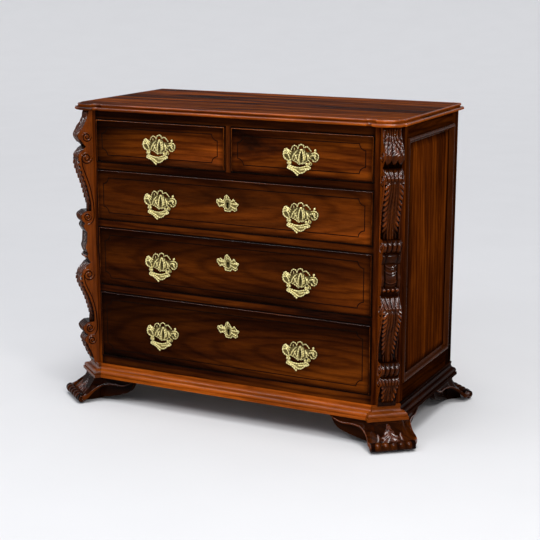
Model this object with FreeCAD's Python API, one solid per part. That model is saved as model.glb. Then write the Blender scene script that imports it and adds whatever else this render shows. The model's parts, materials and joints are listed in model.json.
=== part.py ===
"""Rosewood chest: two short drawers over three long ones, between canted, carved corners.

Millimetres. X runs to the right, Y to the back and Z up. The origin lies on the floor, under
the middle of the chest. Lengths called depth count back from the front of the carcase.
"""
import FreeCAD, Part
import math
import os

# Carcase
opening_width = 975.0
post_face = 8.0
cant_front_leg = 62.0
cant_side_leg = 50.0
case_depth = 545.0
post_depth = 84.0
side_thickness = 26.0
rear_post_width = 58.0
back_thickness = 10.0
back_board_count = 3
bottom_thickness = 14.0
bottom_drop = 12.0

# Heights, from the floor up
foot_height = 82.0
base_height = 44.0
bottom_rail_face = 28.0
long_drawer_heights = (226.0, 199.0, 170.0)
short_drawer_height = 144.0
rail_height = 20.0
frieze_height = 26.0
divider_width = 16.0

# Top board: two half-round reeds with a quirk between them, lobed front corners
top_overhang = 18.0
top_back_overhang = 2.0
top_lower_reed = 10.0
top_quirk = 2.0
top_upper_reed = 9.0
top_upper_setback = 10.0
top_quirk_setback = 13.0
top_corner_front_leg = 101.0
top_corner_side_leg = 34.0
top_corner_bulge = 24.0
top_corner_bite = 9.0
reed_flat = 0.8

# Side frames, fielded panels and the moulding planted round them
side_top_rail = 49.0
side_bottom_rail_face = 67.0
panel_tongue = 6.0
panel_tongue_reach = 8.0
panel_tongue_setback = 10.0
panel_field_setback = 4.0
panel_bevel = 35.0
panel_fit = 0.3
panel_groove_spare = 1.0
panel_moulding_width = 20.0
panel_moulding_height = 8.0
panel_moulding_lap = 10.0
panel_moulding_fillet = 2.5

# Base moulding and the corner blocks that it breaks round
base_reach = 24.0
base_toe_fillet = 9.0
base_step = 4.0
base_top_fillet = 6.0
base_block_step = 8.0
base_block_margin = 3.0

# Corner trusses: members from the top down, each by points of drop from its top and reach off the backing
truss_width = 64.0
truss_backing = 6.0
upper_leaf = ((0, 6), (27, 9), (54, 26), (81, 41), (100, 36), (121, 20))
long_leaf = ((0, 20), (18, 37), (37, 43), (63, 41), (94, 32), (131, 20), (179, 10), (212, 9))
gadroon_roll = ((0, 25), (11, 40), (28, 38), (39, 29))
small_roll = ((0, 29), (12, 35), (35, 22))
plain_field = ((0, 22), (31, 24), (48, 28), (71, 20))
bead_row = ((0, 24), (8, 25), (27, 15))
lower_leaf = ((0, 15), (23, 35), (44, 46), (72, 44), (122, 24), (166, 12), (205, 12))
lower_roll = ((0, 29), (13, 45), (31, 41), (43, 31))
foot_leaf = ((0, 31), (17, 39), (38, 34), (65, 22), (100, 11))
truss_members = (upper_leaf, long_leaf, gadroon_roll, small_roll, plain_field, bead_row,
                 lower_leaf, lower_roll, foot_leaf)

# Scroll feet, set square to the cant of each corner
foot_width = 140.0
foot_back = 38.0
foot_neck = 32.0
foot_toe_reach = 86.0
foot_toe_radius = 13.0
foot_toe_height = 19.0
foot_waist_reach = 54.0
foot_waist_height = 40.0
foot_sole_reach = 74.0
wing_length = 138.0
wing_tip_height = 8.0
wing_thickness = 30.0
wing_setback = 6.0
wing_sole_height = 12.0
wing_sag = 14.0

# Drawers
drawer_gap = 1.0
drawer_seat = 0.3
drawer_lip = 2.0
drawer_field_proud = 4.0
drawer_field_inset = 6.0
drawer_field_round = 3.0
front_thickness = 19.0
groove_inset = 25.0
groove_width = 3.0
groove_depth = 1.5
groove_corner = 20.0
box_side = 12.0
box_bottom = 8.0
box_bottom_lift = 8.0
box_top_drop = 6.0
box_back_drop = 12.0
box_depth = 498.0
runner_width = 30.0
guide_height = 25.0

# Bail handles
handle_spread = 247.0
handle_drop = 25.0
handle_post_pitch = 70.0
plate_thickness = 2.5
plate_width = 118.0
plate_rise = 58.0
plate_fall = 7.0
plate_eye_radius = 5.0
pivot_reach = 9.5
post_radius = 4.5
shank_radius = 2.5
shank_fit = 0.2
shank_spare = 1.0
pin_radius = 1.8
pin_fit = 0.3
eye_radius = 4.2
eye_length = 6.0
eye_gap = 0.6
nut_width = 10.0
nut_thickness = 4.0
bail_fall = 40.0
bail_thickness = 4.6
bail_gap_drop = 13.0
bail_gap_half = 21.0

# Keyhole plates, locks and bolts of the long drawers
escutcheon_drop = 76.0
escutcheon_width = 78.0
escutcheon_height = 55.0
keyhole_radius = 4.0
keyhole_slot = 4.0
keyhole_fall = 13.0
lock_width = 62.0
lock_thickness = 9.0
lock_top_drop = 3.0
lock_below_key = 22.0
bolt_width = 22.0
bolt_thickness = 4.0
bolt_length = 34.0
bolt_fit = 0.3
bolt_travel = 9.0
mortise_fit = 1.0

# Worked out from the sizes above
half_opening = opening_width / 2
half_case = half_opening + post_face + cant_front_leg
front = -case_depth / 2
back = case_depth / 2
inner_side = half_case - side_thickness
back_face = back - back_thickness
base_bottom = foot_height
case_bottom = base_bottom + base_height
row_floors = [case_bottom + bottom_rail_face]
for long_height in long_drawer_heights:
    row_floors.append(row_floors[-1] + long_height + rail_height)
row_heights = list(long_drawer_heights) + [short_drawer_height]
frieze_bottom = row_floors[-1] + short_drawer_height
case_top = frieze_bottom + frieze_height
panel_low = case_bottom + side_bottom_rail_face
panel_high = case_top - side_top_rail
panel_front = front + post_depth
panel_back = back - rear_post_width
short_width = (opening_width - divider_width) / 2
short_middle = (divider_width + short_width) / 2
drawer_face = front - drawer_field_proud - drawer_lip
touching = 1e-6
diagonal = math.sqrt(0.5)
along = FreeCAD.Vector(cant_front_leg, cant_side_leg, 0).normalize()
outward = FreeCAD.Vector(along.y, -along.x, 0)


def vec(x, y, z=0.0):
    return FreeCAD.Vector(x, y, z)


def box(x0, x1, y0, y1, z0, z1):
    return Part.makeBox(x1 - x0, y1 - y0, z1 - z0, vec(x0, y0, z0))


def line(a, b):
    return Part.LineSegment(a, b).toShape()


def arc(a, through, b):
    return Part.Arc(a, through, b).toShape()


def curve(points):
    spline = Part.BSplineCurve()
    spline.interpolate(points)
    return spline.toShape()


def bowed(a, b, bulge):
    """An arc from a to b that stands off its chord by bulge, to the right of the way it runs."""
    middle = (a + b) * 0.5
    run = (b - a).normalize()
    return arc(a, middle + vec(run.y, -run.x) * bulge, b)


def prism(edges, height):
    return Part.Face(Part.Wire(edges)).extrude(height)


def polygon(points):
    return Part.makePolygon(points + [points[0]]).Edges


def mirrored(shape):
    return shape.mirror(vec(0, 0, 0), vec(1, 0, 0))


def mirrored_back(shape):
    return shape.mirror(vec(0, 0, 0), vec(0, 1, 0))


def rod(radius, length, base, axis):
    return Part.makeCylinder(radius, length, base, axis)


def save(name, *shapes):
    solids = [solid for shape in shapes for solid in shape.Solids]
    body = solids[0] if len(solids) == 1 else Part.makeCompound(solids)
    body.exportStep("parts/" + name + ".step")


def save_pair(stem, shape):
    """The right-hand piece and its mirror image."""
    save(stem + "_right", shape)
    save(stem + "_left", mirrored(shape))


def mitred_run(profile, start, end, before=None, after=None):
    """A moulding from start to end, cut at each end on the mitre with the run next to it.

    profile gives edges in X, the outward reach, and Y, the height. Outward is to the right.
    """
    run = (end - start).normalize()
    square = vec(run.y, -run.x)
    upright = FreeCAD.Matrix(
        square.x, 0, -run.x, start.x,
        square.y, 0, -run.y, start.y,
        0, 1, 0, 0,
        0, 0, 0, 1,
    )
    section = Part.Wire(profile)
    section.Placement = FreeCAD.Placement(upright)
    limits = section.BoundBox
    spare = limits.DiagonalLength + (end - start).Length
    section.translate(run * -spare)
    bar = Part.Face(section).extrude(run * ((end - start).Length + 2 * spare))

    def mitre(neighbour):
        if neighbour is None:
            return square
        turned = vec(neighbour.y, -neighbour.x)
        return (square + turned) * (1 / (1 + square.dot(turned)))

    reach = max(point.Point.x for edge in profile for point in edge.Vertexes)
    first = mitre(before) * (reach + 1)
    last = mitre(after) * (reach + 1)
    outline = [start, start + first, end + last, end]
    cutter = prism(polygon(outline), vec(0, 0, limits.ZLength + 2))
    cutter.translate(vec(0, 0, limits.ZMin - 1))
    return bar.common(cutter)


def top_board():
    """The top: its plan is drawn once and set in for each layer of the moulded edge."""
    half = half_case + top_overhang
    near = front - top_overhang
    far = back + top_back_overhang
    spare = top_quirk_setback * 3
    corner_front = vec(half - top_corner_front_leg, near)
    corner_side = vec(half, near + top_corner_side_leg)
    left_front = vec(-corner_front.x, near)
    left_side = vec(-half, corner_side.y)
    edges = [
        line(left_front, corner_front),
        bowed(corner_front, corner_side, top_corner_bulge),
        line(corner_side, vec(half, far + spare)),
        line(vec(half, far + spare), vec(-half, far + spare)),
        line(vec(-half, far + spare), left_side),
        bowed(left_side, left_front, top_corner_bulge),
    ]
    plan = Part.Face(Part.Wire(edges))
    for point in (corner_front, corner_side, left_front, left_side):
        bite = Part.Face(Part.Wire(Part.makeCircle(top_corner_bite, point)))
        plan = plan.cut(bite)
    plan = plan.Faces[0]

    def layer(setback, low, thickness, rounded):
        outline = plan if setback == 0 else plan.makeOffset2D(-setback)
        slab = outline.Faces[0].extrude(vec(0, 0, thickness))
        slab.translate(vec(0, 0, low))
        if rounded:
            rims = [edge for edge in slab.Edges if edge.BoundBox.ZLength < touching]
            slab = slab.makeFillet((thickness - reed_flat) / 2, rims)
        return slab

    upper_low = case_top + top_lower_reed + top_quirk
    board = layer(0, case_top, top_lower_reed, True)
    board = board.fuse(layer(top_quirk_setback, case_top + top_lower_reed / 2,
                             top_lower_reed / 2 + top_quirk + top_upper_reed / 2, False))
    board = board.fuse(layer(top_upper_setback, upper_low, top_upper_reed, True))
    top_thickness = upper_low + top_upper_reed - case_top
    kept = box(-half - top_corner_bulge, half + top_corner_bulge, near - top_corner_bulge, far,
               case_top, case_top + top_thickness)
    return board.common(kept).removeSplitter()


def panel_groove():
    """The channel that the right-hand side panel's tongue runs in."""
    reach = panel_tongue_reach + panel_groove_spare
    outer = half_case - panel_tongue_setback + panel_fit
    inner = outer - panel_tongue - 2 * panel_fit
    return box(inner, outer, panel_front - reach, panel_back + reach,
               panel_low - reach, panel_high + reach)


def front_post(groove):
    plan = [
        vec(half_opening, front, base_bottom),
        vec(half_opening + post_face, front, base_bottom),
        vec(half_case, front + cant_side_leg, base_bottom),
        vec(half_case, panel_front, base_bottom),
        vec(half_opening, panel_front, base_bottom),
    ]
    return prism(polygon(plan), vec(0, 0, case_top - base_bottom)).cut(groove)


def rear_post(groove):
    return box(inner_side, half_case, panel_back, back, base_bottom, case_top).cut(groove)


def side_rails(groove):
    low = box(inner_side, half_case, panel_front, panel_back, base_bottom, panel_low)
    high = box(inner_side, half_case, panel_front, panel_back, panel_high, case_top)
    return Part.makeCompound([low.cut(groove), high.cut(groove)])


def side_panel():
    """A fielded panel: a tongue all round, a bevel, and a flat field in the middle."""
    outer = half_case - panel_tongue_setback
    inner = outer - panel_tongue
    reach = panel_tongue_reach
    board = box(inner, outer, panel_front - reach, panel_back + reach,
                panel_low - reach, panel_high + reach)

    def rectangle(x, inset):
        low_y = panel_front + inset
        high_y = panel_back - inset
        low_z = panel_low + inset
        high_z = panel_high - inset
        return Part.makePolygon([vec(x, low_y, low_z), vec(x, high_y, low_z), vec(x, high_y, high_z),
                                 vec(x, low_y, high_z), vec(x, low_y, low_z)])

    field = half_case - panel_field_setback
    raised = Part.makeLoft([rectangle(outer, panel_fit), rectangle(field, panel_bevel)], True, True)
    return board.fuse(raised).removeSplitter()


def panel_moulding():
    """Four mitred lengths of a rolled moulding that laps the frame and runs down to the panel."""
    width = panel_moulding_width
    height = panel_moulding_height
    lap = panel_moulding_lap
    fillet = panel_moulding_fillet
    sunk = panel_tongue_setback - panel_field_setback
    roll_end = vec(width * 0.6, height * 0.55)
    profile = [
        line(vec(0, 0), vec(0, fillet)),
        arc(vec(0, fillet), vec(width * 0.32, height), roll_end),
        bowed(roll_end, vec(width, 1 - sunk), 1.5),
        line(vec(width, 1 - sunk), vec(width, -sunk)),
        line(vec(width, -sunk), vec(lap + panel_fit, -sunk)),
        line(vec(lap + panel_fit, -sunk), vec(lap + panel_fit, 0)),
        line(vec(lap + panel_fit, 0), vec(0, 0)),
    ]
    corners = [
        vec(panel_front - lap, panel_low - lap),
        vec(panel_front - lap, panel_high + lap),
        vec(panel_back + lap, panel_high + lap),
        vec(panel_back + lap, panel_low - lap),
    ]
    runs = []
    count = len(corners)
    for index in range(count):
        start = corners[index]
        end = corners[(index + 1) % count]
        before = (start - corners[index - 1]).normalize()
        after = (corners[(index + 2) % count] - end).normalize()
        runs.append(mitred_run(profile, start, end, before, after))
    frame = Part.makeCompound(runs)
    upright = FreeCAD.Matrix(0, 0, 1, half_case, 1, 0, 0, 0, 0, 1, 0, 0, 0, 0, 0, 1)
    frame.Placement = FreeCAD.Placement(upright)
    return frame


def base_profile():
    """An ogee between a deep toe fillet and a narrow top fillet."""
    toe = base_bottom + base_toe_fillet
    neck = case_bottom - base_top_fillet
    foot_of_ogee = vec(base_reach - base_step, toe)
    head_of_ogee = vec(base_step, neck)
    turn = (foot_of_ogee + head_of_ogee) * 0.5
    bulge = (head_of_ogee - foot_of_ogee).Length * 0.14
    return [
        line(vec(0, base_bottom), vec(base_reach, base_bottom)),
        line(vec(base_reach, base_bottom), vec(base_reach, toe)),
        line(vec(base_reach, toe), foot_of_ogee),
        bowed(foot_of_ogee, turn, bulge),
        bowed(turn, head_of_ogee, -bulge),
        line(head_of_ogee, vec(base_step, case_bottom)),
        line(vec(base_step, case_bottom), vec(0, case_bottom)),
        line(vec(0, case_bottom), vec(0, base_bottom)),
    ]


def base_mouldings():
    """The front run, the right-hand block with its returns, and the right-hand side run."""
    across = vec(1, 0)
    away = vec(0, 1)
    start = vec(half_opening + post_face - base_block_margin, front)
    finish = vec(half_case, front + cant_side_leg + base_block_margin)
    face_start = start + outward * base_block_step
    face_end = finish + outward * base_block_step
    profile = base_profile()
    returning = vec(outward.x, -outward.y)
    front_run = mitred_run(profile, vec(-start.x, front), start, returning, outward)
    core = [start, face_start, face_end, finish, vec(half_case, front + cant_side_leg),
            vec(half_opening + post_face, front)]
    block = prism(polygon(core), vec(0, 0, base_height))
    block.translate(vec(0, 0, base_bottom))
    block = block.fuse(mitred_run(profile, start, face_start, across, along))
    block = block.fuse(mitred_run(profile, face_start, face_end, outward, outward * -1))
    block = block.fuse(mitred_run(profile, face_end, finish, along, away))
    side_run = mitred_run(profile, finish, vec(half_case, back), outward * -1)
    return front_run, block.removeSplitter(), side_run


def on_cant(reach, height, across=0.0):
    """A point that stands off the middle of the right-hand cant, square to it."""
    middle = vec(half_case - cant_front_leg / 2, front + cant_side_leg / 2)
    return middle + outward * reach + along * across + vec(0, 0, height)


def corner_truss():
    """Scrolled consoles stacked up the cant, drawn from the side and extruded across it."""
    side = -truss_width / 2
    listed = sum(member[-1][0] for member in truss_members)
    share = (case_top - case_bottom) / listed
    level = case_top
    at = on_cant(0, level, side)
    edges = []
    for member in truss_members:
        points = [on_cant(truss_backing + reach, level - drop * share, side) for drop, reach in member]
        if not at.isEqual(points[0], touching):
            edges.append(line(at, points[0]))
        edges.append(curve(points))
        at = points[-1]
        level -= member[-1][0] * share
    heel = on_cant(0, level, side)
    edges.append(line(at, heel))
    edges.append(line(heel, on_cant(0, case_top, side)))
    return prism(edges, along * truss_width)


def wing(root, run, inward):
    """A bracket under the base: its lower edge drops steeply from the tip, then runs out to the toe."""
    tip = root + run * wing_length
    tip_top = tip + vec(0, 0, foot_height)
    tip_low = tip + vec(0, 0, foot_height - wing_tip_height)
    root_low = root + vec(0, 0, wing_sole_height)
    root_top = root + vec(0, 0, foot_height)
    rise = tip_low.z - root_low.z
    sag = (run * -rise - vec(0, 0, wing_length)).normalize() * wing_sag
    dip = (tip_low + root_low) * 0.5 + sag
    return prism([line(root_top, tip_top), line(tip_top, tip_low), arc(tip_low, dip, root_low),
                  line(root_low, root_top)], inward * wing_thickness)


def foot():
    """A scroll toe on the cant with a bracket wing to each side of it."""
    side = -foot_width / 2

    def spot(reach, height):
        return on_cant(reach, height, side)

    neck = spot(foot_neck, foot_height)
    toe_top = spot(foot_toe_reach, foot_toe_height + foot_toe_radius)
    toe_tip = spot(foot_toe_reach + foot_toe_radius, foot_toe_height)
    toe_low = spot(foot_toe_reach, foot_toe_height - foot_toe_radius)
    sole_front = spot(foot_sole_reach, 0)
    sole_back = spot(0, 0)
    heel = spot(-foot_back, foot_height / 2)
    top_back = spot(-foot_back, foot_height)
    edges = [
        line(top_back, neck),
        curve([neck, spot(foot_waist_reach, foot_waist_height), toe_top]),
        arc(toe_top, toe_tip, toe_low),
        line(toe_low, sole_front),
        line(sole_front, sole_back),
        line(sole_back, heel),
        line(heel, top_back),
    ]
    toe = prism(edges, along * foot_width)
    wing_reach = base_reach - wing_setback
    front_wing = wing(vec(half_opening + post_face, front - wing_reach), vec(-1, 0), vec(0, 1))
    side_wing = wing(vec(half_case + wing_reach, front + cant_side_leg), vec(0, 1), vec(-1, 0))
    return toe.fuse([front_wing, side_wing]).removeSplitter()


def bolt_depth():
    """How far back the middle of a lock's bolt lies."""
    return front + front_thickness + lock_thickness / 2


def front_rails():
    """The frieze, the rails between the drawers, mortised for the bolts, and the bottom rail."""
    rear = front + post_depth
    rails = [
        box(-half_opening, half_opening, front, rear, base_bottom, row_floors[0]),
        box(-half_opening, half_opening, front, rear, frieze_bottom, case_top),
    ]
    half_width = bolt_width / 2 + mortise_fit
    half_depth = bolt_thickness / 2 + mortise_fit
    for floor in row_floors[1:]:
        low = floor - rail_height
        mortise = box(-half_width, half_width, bolt_depth() - half_depth, bolt_depth() + half_depth,
                      low, low + bolt_travel)
        rails.append(box(-half_opening, half_opening, front, rear, low, floor).cut(mortise))
    return Part.makeCompound(rails)


def drawer_divider():
    return box(-divider_width / 2, divider_width / 2, front, front + post_depth,
               row_floors[-1], frieze_bottom)


def drawer_runners():
    """A runner and a guide at each side of each row, and a pair down the middle of the top row."""
    near = front + post_depth
    pieces = []
    for floor in row_floors:
        runner = box(half_opening - runner_width, inner_side, near, back_face, floor - rail_height, floor)
        guide = box(half_opening, inner_side, near, back_face, floor, floor + guide_height)
        pieces += [runner, guide, mirrored(runner), mirrored(guide)]
    floor = row_floors[-1]
    half = divider_width / 2
    pieces.append(box(-half - runner_width, half + runner_width, near, back_face, floor - rail_height, floor))
    pieces.append(box(-half, half, near, back_face, floor, floor + guide_height))
    return Part.makeCompound(pieces)


def back_boards():
    height = (case_top - base_bottom) / back_board_count
    boards = []
    for index in range(back_board_count):
        low = base_bottom + index * height
        boards.append(box(-inner_side, inner_side, back_face, back, low, low + height))
    return Part.makeCompound(boards)


def bottom_board():
    high = case_bottom - bottom_drop
    return box(-inner_side, inner_side, front + post_depth, back_face, high - bottom_thickness, high)


def notched_outline(half_width, half_height, inset, at_y):
    """A rectangle with hollow quarter-round corners, set in by inset from its edge."""
    step = inset - groove_inset
    radius = groove_corner + step
    span = math.sqrt(radius * radius - step * step)
    edge_x = half_width - inset
    edge_z = half_height - inset
    centre_x = half_width - groove_inset
    centre_z = half_height - groove_inset
    corners = []
    for sign_x, sign_z in ((1, 1), (-1, 1), (-1, -1), (1, -1)):
        upright = vec(sign_x * edge_x, at_y, sign_z * (centre_z - span))
        level = vec(sign_x * (centre_x - span), at_y, sign_z * edge_z)
        hollow = vec(sign_x * (centre_x - radius * diagonal), at_y, sign_z * (centre_z - radius * diagonal))
        corners.append((upright, hollow, level) if sign_x == sign_z else (level, hollow, upright))
    edges = []
    for index, corner in enumerate(corners):
        edges.append(line(corners[index - 1][2], corner[0]))
        edges.append(arc(*corner))
    return edges


def keyhole(y_from, y_to, middle_z):
    """A round hole with a slot below it."""
    length = y_to - y_from
    hole = rod(keyhole_radius, length, vec(0, y_from, middle_z), vec(0, 1, 0))
    slot = box(-keyhole_slot / 2, keyhole_slot / 2, y_from, y_to, middle_z - keyhole_fall, middle_z)
    return hole.fuse(slot)


def drawer_front(middle, width, floor, height, handle_xs, key_z):
    """A board with a stepped, rounded edge and an incised line with hollow corners."""
    half_width = width / 2 - drawer_gap
    half_height = height / 2 - drawer_gap
    inset = drawer_field_inset
    lip_face = -drawer_lip
    field_face = lip_face - drawer_field_proud
    board = box(-half_width, half_width, lip_face, front_thickness, -half_height, half_height)
    field = box(-half_width + inset, half_width - inset, field_face, front_thickness / 2,
                -half_height + inset, half_height - inset)
    rims = [edge for edge in field.Edges if edge.BoundBox.YMax < field_face + touching]
    board = board.fuse(field.makeFillet(drawer_field_round, rims))
    outer = prism(notched_outline(half_width, half_height, groove_inset, field_face), vec(0, groove_depth, 0))
    inner = prism(notched_outline(half_width, half_height, groove_inset + groove_width, field_face),
                  vec(0, groove_depth, 0))
    board = board.cut(outer.cut(inner))
    board.translate(vec(middle, front, floor + height / 2))
    for handle_x in handle_xs:
        for side in (-1, 1):
            at = vec(handle_x + side * handle_post_pitch / 2, drawer_face, handle_level(floor, height))
            length = front + front_thickness - drawer_face
            board = board.cut(rod(shank_radius + shank_fit, length, at, vec(0, 1, 0)))
    if key_z is not None:
        board = board.cut(keyhole(drawer_face, front + front_thickness, key_z))
    return board.removeSplitter()


def drawer_box(middle, width, floor, height):
    """Two sides, a back and a bottom, behind the front."""
    outer = width / 2 - drawer_gap
    inner = outer - box_side
    near = front + front_thickness
    far = near + box_depth
    low = floor + drawer_seat
    sides = []
    for x0, x1 in ((-outer, -inner), (inner, outer)):
        sides.append(box(middle + x0, middle + x1, near, far, low, floor + height - box_top_drop))
    bottom_low = floor + box_bottom_lift
    bottom_high = bottom_low + box_bottom
    bottom = box(middle - inner, middle + inner, near, far, bottom_low, bottom_high)
    rear = box(middle - inner, middle + inner, far - box_side, far, bottom_high, floor + height - box_back_drop)
    return Part.makeCompound(sides + [bottom, rear])


def handle_level(floor, height):
    return floor + height / 2 - handle_drop


def sheet(points, thickness):
    """A plate with a smooth closed outline, given by its right half from the bottom to the top."""
    left = [vec(-point.x, point.y, point.z) for point in reversed(points[1:-1])]
    spline = Part.BSplineCurve()
    spline.interpolate(points + left, PeriodicFlag=True)
    return prism([spline.toShape()], vec(0, -thickness, 0))


def handle_plate(at):
    """A pierced plate: lobes at the sides, three loops along the top."""
    half = plate_width / 2
    shares = ((0.0, -1.0, 0), (0.34, -0.5, 0), (0.6, -1.0, 0), (0.8, 0.08, 1), (1.0, 0.34, 1),
              (0.88, 0.56, 1), (0.7, 0.58, 1), (0.6, 0.82, 1), (0.36, 0.8, 1), (0.24, 0.98, 1), (0.0, 1.0, 1))
    points = []
    for across, up, above in shares:
        rise = plate_rise if above else plate_fall
        points.append(vec(half * across, 0, rise * up))
    plate = sheet(points, plate_thickness)
    for across, up in ((0.0, 0.78), (0.42, 0.6), (-0.42, 0.6), (0.72, 0.3), (-0.72, 0.3)):
        eye = vec(half * across, -plate_thickness, plate_rise * up)
        plate = plate.cut(rod(plate_eye_radius, plate_thickness, eye, vec(0, 1, 0)))
    for side in (-1, 1):
        hole = vec(side * handle_post_pitch / 2, -plate_thickness, 0)
        plate = plate.cut(rod(shank_radius + shank_fit, plate_thickness, hole, vec(0, 1, 0)))
    plate.translate(vec(at.x, drawer_face, at.z))
    return plate


def handle_post(at, side):
    """A ball-ended post with its shank through the drawer front, and the pin that a bail's eye turns on."""
    x = at.x + side * handle_post_pitch / 2
    shank_end = front + front_thickness + nut_thickness + shank_spare
    collar_end = drawer_face - plate_thickness
    forward = vec(0, -1, 0)
    shank = rod(shank_radius, shank_end - at.y, vec(x, shank_end, at.z), forward)
    collar = rod(post_radius, collar_end - at.y, vec(x, collar_end, at.z), forward)
    ball = Part.makeSphere(post_radius, vec(x, at.y, at.z))
    pin_length = post_radius + eye_gap + eye_length + eye_gap
    pin = rod(pin_radius, pin_length, vec(x, at.y, at.z), vec(-side, 0, 0))
    return shank.fuse([collar, ball, pin]).removeSplitter()


def handle_nut(at, side):
    """A six-sided nut on the inside of the drawer front."""
    x = at.x + side * handle_post_pitch / 2
    y = front + front_thickness
    reach = nut_width / math.sqrt(3)
    corners = []
    for step in range(6):
        angle = math.radians(60 * step)
        corners.append(vec(x + reach * math.cos(angle), y, at.z + reach * math.sin(angle)))
    nut = prism(polygon(corners), vec(0, nut_thickness, 0))
    return nut.cut(rod(shank_radius + shank_fit, nut_thickness, vec(x, y, at.z), vec(0, 1, 0)))


def bail(at):
    """A leaf-shaped drop handle: an eye on each pin, and a crescent to put the fingers through."""
    eye_outer = handle_post_pitch / 2 - post_radius - eye_gap
    eye_inner = eye_outer - eye_length
    shoulder = post_radius + 4
    fall = bail_fall
    gap = bail_gap_half
    outer = [vec(eye_outer, 0, -shoulder), vec(eye_outer * 1.22, 0, -fall * 0.34),
             vec(eye_outer * 0.96, 0, -fall * 0.56), vec(eye_outer * 0.46, 0, -fall * 0.7), vec(0, 0, -fall)]
    across = [vec(-point.x, 0, point.z) for point in reversed(outer)]
    edges = [
        arc(vec(-gap, 0, 0), vec(0, 0, -bail_gap_drop), vec(gap, 0, 0)),
        line(vec(gap, 0, 0), vec(eye_outer, 0, 0)),
        line(vec(eye_outer, 0, 0), outer[0]),
        curve(outer),
        curve(across),
        line(across[-1], vec(-eye_outer, 0, 0)),
        line(vec(-eye_outer, 0, 0), vec(-gap, 0, 0)),
    ]
    leaf = prism(edges, vec(0, bail_thickness, 0))
    leaf.translate(vec(0, -bail_thickness / 2, 0))
    for side in (-1, 1):
        leaf = leaf.fuse(rod(eye_radius, eye_length, vec(side * eye_inner, 0, 0), vec(side, 0, 0)))
    for side in (-1, 1):
        bore_length = eye_outer - gap + 2
        bore = rod(pin_radius + pin_fit, bore_length, vec(side * (gap - 1), 0, 0), vec(side, 0, 0))
        leaf = leaf.cut(bore)
    leaf.translate(at)
    return leaf.removeSplitter()


def escutcheon(key_z):
    """A shaped keyhole plate."""
    half = escutcheon_width / 2
    tall = escutcheon_height / 2
    shares = ((0.0, -1.0), (0.3, -0.72), (0.62, -0.86), (0.72, -0.36), (1.0, -0.2), (0.86, 0.3), (0.56, 0.38),
              (0.5, 0.82), (0.2, 0.72), (0.0, 1.0))
    points = [vec(half * across, 0, tall * up) for across, up in shares]
    plate = sheet(points, plate_thickness)
    plate.translate(vec(0, drawer_face, key_z))
    return plate.cut(keyhole(drawer_face - plate_thickness, drawer_face, key_z))


def lock_top(floor, height):
    return floor + height - drawer_gap - lock_top_drop


def lock_case(floor, height, key_z):
    """A lock screwed behind the front, with a channel for its bolt."""
    near = front + front_thickness
    top = lock_top(floor, height)
    case = box(-lock_width / 2, lock_width / 2, near, near + lock_thickness, key_z - lock_below_key, top)
    half_width = bolt_width / 2 + bolt_fit
    half_depth = bolt_thickness / 2 + bolt_fit
    channel = box(-half_width, half_width, bolt_depth() - half_depth, bolt_depth() + half_depth,
                  top - bolt_length - bolt_fit, top)
    return case.cut(channel).cut(keyhole(near, near + lock_thickness / 2, key_z))


def lock_bolt(floor, height):
    top = lock_top(floor, height)
    return box(-bolt_width / 2, bolt_width / 2, bolt_depth() - bolt_thickness / 2,
               bolt_depth() + bolt_thickness / 2, top - bolt_length, top)


def drawer(name, middle, width, floor, height, handle_xs, locked):
    """One drawer with its handles and, on a long drawer, its keyhole plate, lock and bolt."""
    key_z = floor + height - escutcheon_drop if locked else None
    save("drawer_front_" + name, drawer_front(middle, width, floor, height, handle_xs, key_z))
    save("drawer_box_" + name, drawer_box(middle, width, floor, height))
    fittings = []
    for handle_x, suffix in zip(handle_xs, ("_left", "_right")):
        at = vec(handle_x, drawer_face - pivot_reach, handle_level(floor, height))
        fittings.append(handle_plate(at))
        for side in (-1, 1):
            fittings += [handle_post(at, side), handle_nut(at, side)]
        save("bail_" + name + (suffix if len(handle_xs) > 1 else ""), bail(at))
    save("handle_plates_" + name, *fittings)
    if locked:
        save("escutcheon_" + name, escutcheon(key_z))
        save("lock_" + name, lock_case(floor, height, key_z))
        save("lock_bolt_" + name, lock_bolt(floor, height))


def main():
    os.makedirs("parts", exist_ok=True)
    save("top_board", top_board())
    groove = panel_groove()
    save_pair("front_post", front_post(groove))
    save_pair("rear_post", rear_post(groove))
    save_pair("side_rails", side_rails(groove))
    save_pair("side_panel", side_panel())
    save_pair("panel_moulding", panel_moulding())
    save_pair("corner_truss", corner_truss())
    front_run, block, side_run = base_mouldings()
    save("base_moulding_front", front_run)
    save_pair("base_block", block)
    save_pair("base_moulding", side_run)
    save_pair("foot_front", foot())
    save_pair("foot_rear", mirrored_back(foot()))
    save("front_rails", front_rails())
    save("drawer_divider", drawer_divider())
    save("drawer_runners", drawer_runners())
    save("back_boards", back_boards())
    save("bottom_board", bottom_board())
    long_names = ("long_bottom", "long_middle", "long_top")
    spread = (-handle_spread, handle_spread)
    for name, floor, height in zip(long_names, row_floors, row_heights):
        drawer(name, 0, opening_width, floor, height, spread, True)
    for name, side in (("short_left", -1), ("short_right", 1)):
        middle = side * short_middle
        drawer(name, middle, short_width, row_floors[-1], short_drawer_height, (middle,), False)


main()
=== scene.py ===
"""Dresses the rosewood chest: polished wood, carved trusses and feet, cast brass handles, and a studio."""
import json
import math

import bmesh
import bpy
from bpy.props import FloatProperty, FloatVectorProperty, IntProperty, PointerProperty
from mathutils import Matrix, Vector

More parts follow.
